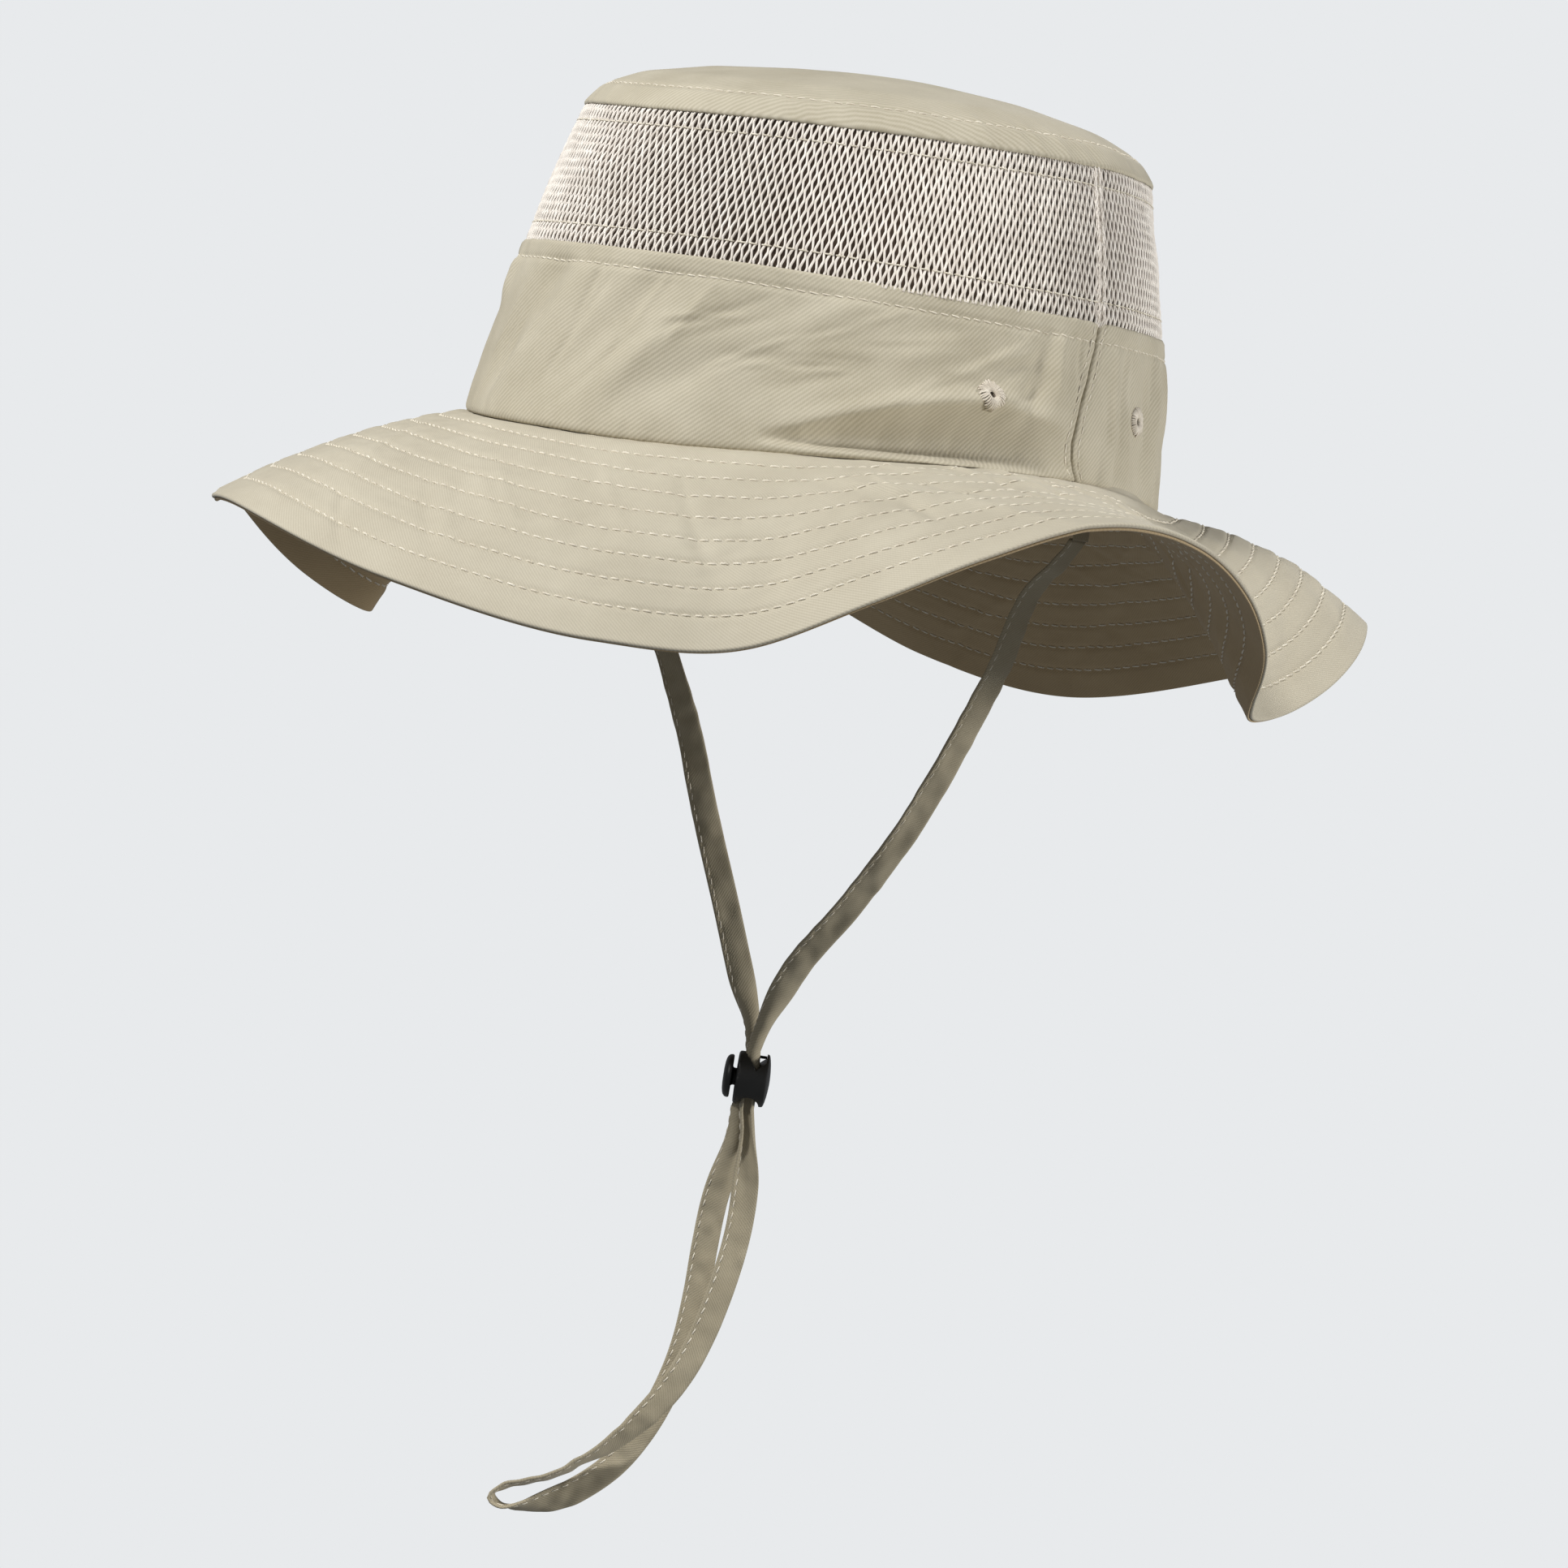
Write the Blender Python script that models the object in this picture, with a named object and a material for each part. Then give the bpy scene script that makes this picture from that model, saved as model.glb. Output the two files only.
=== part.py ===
"""Boonie hat: cloth crown with a mesh band, quilted brim, chin strap and sprung cord lock.

Metres, +Z up the crown, -Y the front, +X the wearer's left. The origin is the centre of the
head opening. psi is an angle round the crown from the front towards the wearer's left.
"""
import math

import bmesh
import bpy
import numpy as np
from mathutils import Matrix, Vector

# ---- driving dimensions, in metres unless named otherwise
HEAD_HALF_WIDTH = 0.086
HEAD_HALF_LENGTH = 0.098
AROUND = 60  # facets round the head; the side seams fall on two of their edges
GAP = 0.0003
CLOTH = 0.0010
TAPE = 0.0008

MESH_LOW_Z = 0.0435
MESH_HIGH_Z = 0.0820
CROWN_TOP_Z = 0.0990
# crown outline: height, and the size of the ring there as a share of the head opening
CROWN_RINGS = [
    (-0.020, 1.000),
    (0.000, 1.000),
    (0.0435, 0.908),
    (0.0820, 0.800),
    (0.0870, 0.755),
    (0.0915, 0.655),
    (0.0955, 0.470),
    (0.0980, 0.240),
    (0.0990, 0.000),
]

BRIM_SHARES = (0.0, 0.25, 0.50, 0.75, 0.95, 1.0)
PLY_TOP = 0.0010
PLY_MIDDLE = 0.0008
BRIM_THICK = 2 * PLY_TOP + PLY_MIDDLE + 2 * GAP
# brim shape: psi in degrees, height of the edge in mm, curl (how many degrees steeper the cloth
# hangs at the edge than at the crown) and width along the cloth in mm
BRIM_STATIONS = [
    (-54, -34, 15, 66),
    (-40, -33, 20, 68),
    (-25, -32, 20, 70),
    (-1, -43, 25, 70),
    (19, -49, 30, 70),
    (33, -45, 35, 70),
    (43, -30, 30, 70),
    (51, -17, 15, 70),
    (60, -6, 0, 70),
    (72, -7, 0, 69),
    (80, -16, 10, 68),
    (87, -28, 20, 68),
    (95, -42, 15, 66),
    (102, -47, 10, 65),
    (108, -45, 10, 65),
    (114, -38, 15, 65),
    (121, -28, 25, 65),
    (128, -21, 35, 65),
    (145, -28, 25, 68),
    (161, -41, 20, 70),
    (181, -55, 20, 70),
    (200, -50, 20, 70),
    (220, -32, 20, 70),
    (245, -25, 15, 70),
    (262, -35, 10, 70),
    (275, -48, 5, 69),
    (285, -57, 5, 66),
    (291, -58, 5, 65),
    (297, -51, 8, 65),
]
# height of the seam between crown and brim: psi in degrees, height in mm
SEAM_STATIONS = [(-54, -1), (-10, -3), (11, -3), (36, 0), (61, 3), (88, 4), (126, 0), (180, -2), (240, 1)]
# how far the top of the crown has settled: psi in degrees, height in mm
SAG_STATIONS = [(-54, -1.5), (0, -4.5), (25, -3.5), (60, -1.5), (95, 0), (180, 0), (250, -1)]
# the crown leans out at the back left: where, and by how much
BULGE_PSI = 126.0
BULGE = 0.0032

SWEATBAND_LOW_Z = -0.006
SWEATBAND_TOP_Z = 0.0158
EYELET_HOLE_RADIUS = 0.0011
EYELET_BARREL_RADIUS = 0.0024
EYELET_RIM_RADIUS = 0.0037
EYELET_HEIGHT_Z = 0.021
EYELET_PSI = {"front": 64.0, "back": 104.0}  # on the left; the right side mirrors them

STRAP_WIDTH = 0.0070
STRAP_THICK = 0.0010
LOCK_YAW_DEG = 36.0
LOCK_CENTRE = (0.0108, 0.0, -0.162)
LOCK_RADIUS = 0.00695
LOCK_HALF_LENGTH = 0.0041
LOCK_SLOT_HALF = 0.0019
LOCK_SLOT_DEPTH_HALF = 0.0034
NOTCH_HALF = 0.0027
NOTCH_FLOOR = 0.0026
BORE_RADIUS = 0.0030
PLUNGER_RADIUS = 0.0027
BUTTON_RADIUS = 0.0056

# strap routes, hand-placed: x, y, z in mm, then the turn of the flat face in degrees
LEFT_ROUTE = [
    (83.2, 0, -10.4, 90),
    (79.5, 0, -16, 86),
    (71.5, 0, -27, 76),
    (65.5, 0, -47, 66),
    (55.6, 0, -71.5, 56),
    (44.5, 0, -94, 48),
    (33.0, 0, -112, 42),
    (20.9, -0.3, -129, 38),
    (14.0, -0.9, -144, 36),
    (11.0, -1.3, -154.2, 36),
]
RIGHT_ROUTE = [
    (-83.2, 0, -10.4, -90),
    (-78.5, 0, -16, -75),
    (-66.0, 0, -26, -50),
    (-52.0, 0, -41, -25),
    (-38.4, 0, -57, 0),
    (-26.6, 0, -77, 18),
    (-17.2, 0, -97, 28),
    (-6.5, 0, -118, 33),
    (2.1, 0.3, -136, 36),
    (7.0, 0.9, -146, 36),
    (9.0, 1.3, -154.2, 36),
]
# the loop: across the lock's face, depth towards the front, and z, in mm
LOOP_ROUTE = [
    (6.6, -1.3, -169.8),
    (6.4, -1.5, -182),
    (4.3, -2.0, -195),
    (3.6, -2.4, -208),
    (3.4, -2.8, -221),
    (2.4, -3.0, -234),
    (0.0, -3.0, -245.5),
    (-4.5, -3.0, -258),
    (-11.0, -3.0, -269),
    (-20.6, -2.6, -278),
    (-30.7, -1.6, -283),
    (-38.0, -0.6, -284),
    (-41.5, 0.0, -281.5),
    (-38.0, 0.6, -278.5),
    (-31.0, 1.6, -275.5),
    (-21.0, 2.6, -269.5),
    (-11.0, 3.0, -261),
    (-3.0, 3.0, -251),
    (2.8, 3.0, -241),
    (7.0, 3.0, -229),
    (10.0, 2.6, -215),
    (11.6, 2.2, -202),
    (11.6, 1.8, -190),
    (10.3, 1.5, -178),
    (8.8, 1.3, -169.8),
]


def material(name, colour, roughness, metallic=0.0):
    mat = bpy.data.materials.new(name)
    mat.use_nodes = True
    shader = mat.node_tree.nodes["Principled BSDF"]
    shader.inputs["Base Color"].default_value = (*colour, 1.0)
    shader.inputs["Roughness"].default_value = roughness
    shader.inputs["Metallic"].default_value = metallic
    return mat


def new_object(name, mesh, collection, look):
    obj = bpy.data.objects.new(name, mesh)
    collection.objects.link(obj)
    if look:
        mesh.materials.append(material(name, *look))
    return obj


def periodic(stations, psi_deg):
    """Smooth closed curve through (angle, value, ...) stations, read at one angle."""
    angles = [s[0] for s in stations]
    turn = angles[0] + (psi_deg - angles[0]) % 360.0
    n = len(stations)
    k = max(i for i in range(n) if angles[i] <= turn)

    def at(i):
        lap, j = divmod(i, n)
        return angles[j] + 360.0 * lap, np.array(stations[j][1:], dtype=float)

    (a0, v0), (a1, v1), (a2, v2), (a3, v3) = at(k - 1), at(k), at(k + 1), at(k + 2)
    d0, d1, d2 = (v1 - v0) / (a1 - a0), (v2 - v1) / (a2 - a1), (v3 - v2) / (a3 - a2)
    h0, h1, h2 = a1 - a0, a2 - a1, a3 - a2
    m1 = (d0 * h1 + d1 * h0) / (h0 + h1)
    m2 = (d1 * h2 + d2 * h1) / (h1 + h2)
    t = (turn - a1) / h1
    return (
        v1 * (2 * t**3 - 3 * t**2 + 1)
        + v2 * (3 * t**2 - 2 * t**3)
        + h1 * m1 * (t**3 - 2 * t**2 + t)
        + h1 * m2 * (t**3 - t**2)
    )


def head_radius(psi):
    return (
        HEAD_HALF_WIDTH
        * HEAD_HALF_LENGTH
        / math.hypot(HEAD_HALF_LENGTH * math.sin(psi), HEAD_HALF_WIDTH * math.cos(psi))
    )


def seam_z(psi):
    return float(periodic(SEAM_STATIONS, math.degrees(psi))[0]) / 1000.0


def crown_share(z):
    """Size of the crown's ring at height z, as a share of the head opening."""
    for (z0, s0), (z1, s1) in zip(CROWN_RINGS, CROWN_RINGS[1:]):
        if z <= z1:
            return s0 + (s1 - s0) * (z - z0) / (z1 - z0)
    return 0.0


def crown_point(psi, z, inset=0.0):
    share = crown_share(z)
    facing = max(0.0, math.cos(psi - math.radians(BULGE_PSI)))
    rise = max(0.0, min(1.0, z / 0.060))
    full = min(1.0, share / crown_share(MESH_HIGH_Z))
    radius = head_radius(psi) * share + BULGE * facing**2 * rise * full - inset
    sag = float(periodic(SAG_STATIONS, math.degrees(psi))[0]) / 1000.0
    height = z + sag * full * max(0.0, min(1.0, z / MESH_HIGH_Z)) ** 2
    return (radius * math.sin(psi), -radius * math.cos(psi), height)


def brim_slope(psi):
    """Slope of the brim where it leaves the crown, its curl and its width at one angle."""
    edge_mm, curl_deg, width_mm = periodic(BRIM_STATIONS, math.degrees(psi))
    curl, width = math.radians(curl_deg), width_mm / 1000.0
    drop = seam_z(psi) - edge_mm / 1000.0
    # a strip of cloth that bends by curl along its width drops by its chord times the mean slope
    mean = math.asin(drop / (width * math.sin(curl / 2 + 1e-6) / (curl / 2 + 1e-6)))
    return mean - curl / 2, curl, width


def brim_point(psi, share, depth=0.0):
    """Point on the brim, share of the way out from the crown, depth below its upper face."""
    start, curl, width = brim_slope(psi)
    half_bend = curl * share / 2 + 1e-6
    along = width * share * math.sin(half_bend) / half_bend
    out = along * math.cos(start + half_bend)
    down = along * math.sin(start + half_bend)
    slope = start + curl * share
    radius = head_radius(psi) - CLOTH + BRIM_THICK * math.sin(max(start, 0.0))
    radius += out - depth * math.sin(slope)
    z = seam_z(psi) - down - depth * math.cos(slope)
    return (radius * math.sin(psi), -radius * math.cos(psi), z)


def shell(name, columns, closed, collection, look):
    """Closed solid from columns of points; a column is one loop round the wall's section."""
    mesh = bpy.data.meshes.new(name)
    bm = bmesh.new()
    grid = [[bm.verts.new(p) for p in column] for column in columns]
    rows = len(columns[0])
    spans = len(columns) if closed else len(columns) - 1
    for i in range(spans):
        a, b = grid[i], grid[(i + 1) % len(columns)]
        for j in range(rows):
            k = (j + 1) % rows
            # both faces of a wall are split along the same diagonal, so that layers stay apart
            if j < rows // 2:
                bm.faces.new((a[j], b[j], b[k]))
                bm.faces.new((a[j], b[k], a[k]))
            else:
                bm.faces.new((a[j], b[j], a[k]))
                bm.faces.new((b[j], b[k], a[k]))
    if not closed:
        for column in (grid[0], grid[-1]):
            half = rows // 2
            for j in range(half - 1):
                quad = (column[j], column[j + 1], column[rows - 2 - j], column[rows - 1 - j])
                bm.faces.new(quad)
    bmesh.ops.recalc_face_normals(bm, faces=bm.faces[:])
    bm.to_mesh(mesh)
    bm.free()
    return new_object(name, mesh, collection, look)


def wall_section(psi, heights, outer_inset, thickness):
    """Points up the outer face of a crown layer and back down its inner face."""
    outer = [crown_point(psi, z, outer_inset) for z in heights]
    inner = [crown_point(psi, z, outer_inset + thickness) for z in heights]
    return outer + inner[::-1]


def facet_angles(first_deg, last_deg, gap=0.0):
    """Facet edges between two angles, drawn in at both ends by half a seam gap."""
    step = 360.0 / AROUND
    count = round((last_deg - first_deg) / step)
    degrees = [first_deg + step * i for i in range(count + 1)]
    trim = math.degrees(gap / 2 / HEAD_HALF_WIDTH)
    degrees[0] += trim
    degrees[-1] -= trim
    return [math.radians(d) for d in degrees]


def all_round():
    return [math.radians(360.0 * i / AROUND) for i in range(AROUND)]


def side_panel(name, first_deg, look, collection):
    columns = []
    for psi in facet_angles(first_deg, first_deg + 180, 2 * GAP):
        low = seam_z(psi) + GAP + 0.0002
        heights = [low, low + (MESH_LOW_Z - low) / 2, MESH_LOW_Z]
        columns.append(wall_section(psi, heights, 0.0, CLOTH))
    return shell(name, columns, False, collection, look)


def mesh_panel(name, first_deg, look, collection):
    low, high = MESH_LOW_Z + GAP, MESH_HIGH_Z - GAP
    columns = [
        wall_section(psi, [low, (low + high) / 2, high], 0.0, CLOTH)
        for psi in facet_angles(first_deg, first_deg + 180, 2 * GAP)
    ]
    return shell(name, columns, False, collection, look)


def crown_top(name, look, collection):
    """Domed cloth disc that closes the crown."""
    mesh = bpy.data.meshes.new(name)
    bm = bmesh.new()
    heights = [MESH_HIGH_Z] + [z for z, share in CROWN_RINGS if z > MESH_HIGH_Z and share > 0]
    rings = []
    for psi in all_round():
        outer = [crown_point(psi, z) for z in heights]
        inner = [crown_point(psi, MESH_HIGH_Z, CLOTH)]
        inner += [crown_point(psi, z, CLOTH * 0.8) for z in heights[1:]]
        inner = [(x, y, z - (0 if i == 0 else CLOTH * 0.8)) for i, (x, y, z) in enumerate(inner)]
        rings.append([bm.verts.new(p) for p in outer + inner[::-1]])
    peak = bm.verts.new((0, 0, CROWN_TOP_Z))
    hollow = bm.verts.new((0, 0, CROWN_TOP_Z - CLOTH))
    count = len(heights)
    for i in range(AROUND):
        a, b = rings[i], rings[(i + 1) % AROUND]
        for j in list(range(count - 1)) + list(range(count, 2 * count - 1)):
            bm.faces.new((a[j], b[j], b[j + 1]))
            bm.faces.new((a[j], b[j + 1], a[j + 1]))
        bm.faces.new((a[-1], b[-1], b[0]))
        bm.faces.new((a[-1], b[0], a[0]))
        bm.faces.new((a[count - 1], b[count - 1], peak))
        bm.faces.new((b[count], a[count], hollow))
    bmesh.ops.recalc_face_normals(bm, faces=bm.faces[:])
    bm.to_mesh(mesh)
    bm.free()
    return new_object(name, mesh, collection, look)


def brim_ply(name, top, thickness, shares, look, collection):
    columns = []
    for psi in all_round():
        upper = [brim_point(psi, share, top) for share in shares]
        lower = [brim_point(psi, share, top + thickness) for share in shares]
        columns.append(upper + lower[::-1])
    return shell(name, columns, True, collection, look)


def ribbon(name, route, collection, look):
    """Flat strap through (centre, across, thin) frames, as one closed loft."""
    columns = []
    for centre, across, thin in route:
        wide = across * (STRAP_WIDTH / 2)
        flat = thin * (STRAP_THICK / 2)
        columns.append([tuple(centre + wide * a + flat * b) for a, b in ((1, 1), (1, -1), (-1, -1), (-1, 1))])
    return shell(name, columns, False, collection, look)


def smooth_route(points, step):
    """Points a step apart on a smooth curve through the hand-placed ones."""
    pts = np.array(points, dtype=float)
    dense = []
    for i in range(len(pts) - 1):
        p0, p1, p2, p3 = pts[max(i - 1, 0)], pts[i], pts[i + 1], pts[min(i + 2, len(pts) - 1)]
        for t in np.linspace(0.0, 1.0, 24, endpoint=False):
            dense.append(
                0.5
                * (
                    2 * p1
                    + (p2 - p0) * t
                    + (2 * p0 - 5 * p1 + 4 * p2 - p3) * t**2
                    + (3 * p1 - p0 - 3 * p2 + p3) * t**3
                )
            )
    dense.append(pts[-1])
    dense = np.array(dense)
    run = np.concatenate([[0.0], np.cumsum(np.linalg.norm(np.diff(dense[:, :3], axis=0), axis=1))])
    count = max(2, round(run[-1] / step))
    wanted = np.linspace(0.0, run[-1], count + 1)
    return np.array([[np.interp(w, run, dense[:, c]) for c in range(pts.shape[1])] for w in wanted])


def strap_frames(route, turns):
    """Frame at each point: the width lies across the run, turned as asked about Z."""
    frames = []
    for i, p in enumerate(route):
        run = route[min(i + 1, len(route) - 1)] - route[max(i - 1, 0)]
        run = Vector(run).normalized()
        yaw = math.radians(turns[i])
        across = Vector((math.cos(yaw), math.sin(yaw), 0.0))
        across = (across - run * across.dot(run)).normalized()
        frames.append((Vector(p), across, run.cross(across).normalized()))
    return frames


def cylinder(radius, x0, x1, sides, collection, name):
    mesh = bpy.data.meshes.new(name)
    bm = bmesh.new()
    bmesh.ops.create_cone(
        bm, cap_ends=True, segments=sides, radius1=radius, radius2=radius, depth=x1 - x0
    )
    turn = Matrix.Rotation(math.radians(90), 4, "Y")
    bmesh.ops.transform(bm, matrix=Matrix.Translation(((x0 + x1) / 2, 0, 0)) @ turn, verts=bm.verts[:])
    bm.to_mesh(mesh)
    bm.free()
    return new_object(name, mesh, collection, None)


def box(x0, x1, y0, y1, z0, z1, collection, name):
    mesh = bpy.data.meshes.new(name)
    bm = bmesh.new()
    bmesh.ops.create_cube(bm, size=1.0)
    bmesh.ops.scale(bm, vec=(x1 - x0, y1 - y0, z1 - z0), verts=bm.verts[:])
    middle = ((x0 + x1) / 2, (y0 + y1) / 2, (z0 + z1) / 2)
    bmesh.ops.translate(bm, vec=middle, verts=bm.verts[:])
    bm.to_mesh(mesh)
    bm.free()
    return new_object(name, mesh, collection, None)


def turned(name, outline, sides, collection, look):
    """Solid turned about the X axis from an (x, radius) outline whose ends lie on the axis."""
    mesh = bpy.data.meshes.new(name)
    bm = bmesh.new()
    ends = [bm.verts.new((outline[0][0], 0, 0)), bm.verts.new((outline[-1][0], 0, 0))]
    rings = []
    for i in range(sides):
        a = 2 * math.pi * i / sides
        rings.append([bm.verts.new((x, r * math.cos(a), r * math.sin(a))) for x, r in outline[1:-1]])
    for i in range(sides):
        a, b = rings[i], rings[(i + 1) % sides]
        for j in range(len(a) - 1):
            bm.faces.new((a[j], b[j], b[j + 1], a[j + 1]))
        bm.faces.new((ends[0], b[0], a[0]))
        bm.faces.new((ends[1], a[-1], b[-1]))
    bmesh.ops.recalc_face_normals(bm, faces=bm.faces[:])
    bm.to_mesh(mesh)
    bm.free()
    return new_object(name, mesh, collection, look)


def boolean(obj, cutter, operation="DIFFERENCE"):
    mod = obj.modifiers.new(cutter.name, "BOOLEAN")
    mod.object = cutter
    mod.operation = operation
    mod.solver = "EXACT"
    cutter.hide_render = True
    cutter.display_type = "WIRE"


def eyelet(name, psi, collection, look, cutters, panel):
    """Spool-shaped ring through the side panel, with a hole in the panel for it."""
    z = EYELET_HEIGHT_Z
    here, above = Vector(crown_point(psi, z)), Vector(crown_point(psi, z + 0.01))
    beside = Vector(crown_point(psi + 0.05, z))
    outward = (beside - here).cross(above - here).normalized()
    if outward.dot(here) < 0:
        outward = -outward
    centre = here - outward * (CLOTH / 2)
    frame = outward.to_track_quat("X", "Z").to_matrix().to_4x4()
    place = Matrix.Translation(centre) @ frame
    half = CLOTH / 2 + GAP + 0.0001
    rim = 0.0005
    section = [
        (half + rim, EYELET_HOLE_RADIUS + 0.0004),
        (half + rim, EYELET_RIM_RADIUS - 0.0004),
        (half, EYELET_RIM_RADIUS),
        (half, EYELET_BARREL_RADIUS),
        (-half, EYELET_BARREL_RADIUS),
        (-half, EYELET_RIM_RADIUS),
        (-half - rim, EYELET_RIM_RADIUS - 0.0004),
        (-half - rim, EYELET_HOLE_RADIUS + 0.0004),
        (0.0, EYELET_HOLE_RADIUS),
    ]
    columns = []
    for i in range(12):
        a = 2 * math.pi * i / 12
        columns.append([place @ Vector((x, r * math.cos(a), r * math.sin(a))) for x, r in section])
    shell(name, columns, True, collection, look)
    cut = cylinder(EYELET_BARREL_RADIUS + GAP, -0.004, 0.004, 12, cutters, f"cut_{name}")
    cut.data.transform(place)
    boolean(panel, cut)


def cord_lock(collection, cutters, look_barrel, look_plunger, look_spring):
    """Barrel with a strap slot right through it, a button plunger and its coil spring."""
    a = math.radians(LOCK_YAW_DEG)
    place = Matrix.Translation(LOCK_CENTRE) @ Matrix.Rotation(a, 4, "Z")
    r, h = LOCK_RADIUS, LOCK_HALF_LENGTH
    outline = [
        (-h, 0.0),
        (-h, r - 0.0006),
        (-h + 0.0006, r),
        (h - 0.0006, r),
        (h + 0.0002, r - 0.0009),
        (h + 0.0006, r - 0.0028),
        (h + 0.0008, 0.0),
    ]
    barrel = turned("cord_lock_barrel", outline, 32, collection, look_barrel)
    s, d = LOCK_SLOT_HALF, LOCK_SLOT_DEPTH_HALF
    slot = box(-s, s, -d, d, -0.02, 0.02, cutters, "cut_lock_slot")
    bore = cylinder(BORE_RADIUS, -0.02, h - 0.0002, 24, cutters, "cut_lock_bore")
    notches = [notch(f"cut_lock_notch_{side}", sign, cutters) for side, sign in (("top", 1), ("low", -1))]
    bars = []
    for side, sign in (("top", 1), ("low", -1)):
        z = sorted((sign * (r - 0.0010), sign * (r - 0.0017)))
        bars.append(box(-h + 0.001, h - 0.001, 0.0018, 0.0028, *z, cutters, f"join_lock_bar_{side}"))
    button = [
        (-h - 0.0031, 0.0),
        (-h - 0.0030, BUTTON_RADIUS - 0.0016),
        (-h - 0.0026, BUTTON_RADIUS - 0.0004),
        (-h - 0.0021, BUTTON_RADIUS),
        (-h - 0.0013, BUTTON_RADIUS),
        (-h - 0.0010, BUTTON_RADIUS - 0.0004),
        (-h - 0.0010, 0.00225),
        (-h + 0.0008, 0.00225),
        (-h + 0.0008, PLUNGER_RADIUS),
        (0.0022, PLUNGER_RADIUS),
        (0.0022, 0.0),
    ]
    plunger = turned("cord_lock_plunger", button, 24, collection, look_plunger)
    window = box(-0.0024, 0.0014, -0.0020, 0.0020, -0.01, 0.01, cutters, "cut_plunger_window")
    spring = coil("cord_lock_spring", 0.0025, 0.0036, 0.0018, 0.00014, 2, collection, look_spring)
    for obj in (barrel, slot, bore, plunger, window, spring, *notches, *bars):
        obj.matrix_world = place
    for cut in (slot, *notches, bore):
        boolean(barrel, cut)
    for bar in bars:
        boolean(barrel, bar, "UNION")
    boolean(plunger, window)


def notch(name, sign, collection):
    """V-shaped cutter across the drum where the strap enters it."""
    mesh = bpy.data.meshes.new(name)
    bm = bmesh.new()
    reach = LOCK_RADIUS + 0.004
    wide = NOTCH_HALF * (reach - NOTCH_FLOOR) / (LOCK_RADIUS - NOTCH_FLOOR)
    corners = [(-wide, sign * reach), (wide, sign * reach), (0.0, sign * NOTCH_FLOOR)]
    ends = [[bm.verts.new((x, y, z)) for x, z in corners] for y in (-0.01, 0.01)]
    bm.faces.new(ends[0])
    bm.faces.new(ends[1])
    for i in range(3):
        k = (i + 1) % 3
        bm.faces.new((ends[0][i], ends[0][k], ends[1][k], ends[1][i]))
    bmesh.ops.recalc_face_normals(bm, faces=bm.faces[:])
    bm.to_mesh(mesh)
    bm.free()
    return new_object(name, mesh, collection, None)


def coil(name, x0, x1, radius, wire, turns, collection, look):
    """Helical spring about the X axis, a bevelled curve made into a mesh."""
    curve = bpy.data.curves.new(name, "CURVE")
    curve.dimensions = "3D"
    curve.bevel_depth = wire
    curve.bevel_resolution = 0
    curve.use_fill_caps = True
    spline = curve.splines.new("POLY")
    steps = turns * 12
    spline.points.add(steps)
    for i in range(steps + 1):
        a = 2 * math.pi * i / 12
        x = x0 + wire + (x1 - x0 - 2 * wire) * i / steps
        spline.points[i].co = (x, radius * math.cos(a), radius * math.sin(a), 1.0)
    holder = bpy.data.objects.new(f"{name}_curve", curve)
    collection.objects.link(holder)
    mesh = bpy.data.meshes.new_from_object(holder)
    bpy.data.objects.remove(holder)
    bm = bmesh.new()
    bm.from_mesh(mesh)
    bmesh.ops.remove_doubles(bm, verts=bm.verts[:], dist=1e-6)
    bmesh.ops.recalc_face_normals(bm, faces=bm.faces[:])
    bm.to_mesh(mesh)
    bm.free()
    return new_object(name, mesh, collection, look)


def chin_strap(collection, look):
    for name, points in (("strap_left", LEFT_ROUTE), ("strap_right", RIGHT_ROUTE)):
        route = smooth_route(points, 9.0)
        ribbon(name, strap_frames(route[:, :3] / 1000.0, route[:, 3]), collection, look)
    a = math.radians(LOCK_YAW_DEG)
    across, front = np.array((math.cos(a), math.sin(a), 0.0)), np.array((math.sin(a), -math.cos(a), 0.0))
    axis_u = LOCK_CENTRE[0] * 1000.0 * math.cos(a)
    flat = smooth_route(LOOP_ROUTE, 8.5)
    base = np.array((LOCK_CENTRE[0], LOCK_CENTRE[1], 0.0))
    route = np.array([
        base + (across * (u - axis_u) + front * depth + np.array((0, 0, z))) / 1000.0
        for u, depth, z in flat
    ])
    frames = []
    for i, p in enumerate(route):
        run = Vector(route[min(i + 1, len(route) - 1)] - route[max(i - 1, 0)]).normalized()
        thin = Vector(front)
        thin = (thin - run * thin.dot(run)).normalized()
        frames.append((Vector(p), thin.cross(run).normalized(), thin))
    ribbon("strap_loop", frames, collection, look)


def tab(name, sign, collection, look):
    """Sewn-in end of the strap, below the sweatband and inside the brim's seam."""
    x = sign * (HEAD_HALF_WIDTH - CLOTH - GAP - STRAP_THICK / 2 - 0.0002)
    low, high = SWEATBAND_LOW_Z - 0.004, SWEATBAND_LOW_Z - GAP
    mesh_box = box(
        x - STRAP_THICK / 2, x + STRAP_THICK / 2, -STRAP_WIDTH / 2, STRAP_WIDTH / 2, low, high, collection, name
    )
    mesh_box.data.materials.append(material(name, *look))


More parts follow.
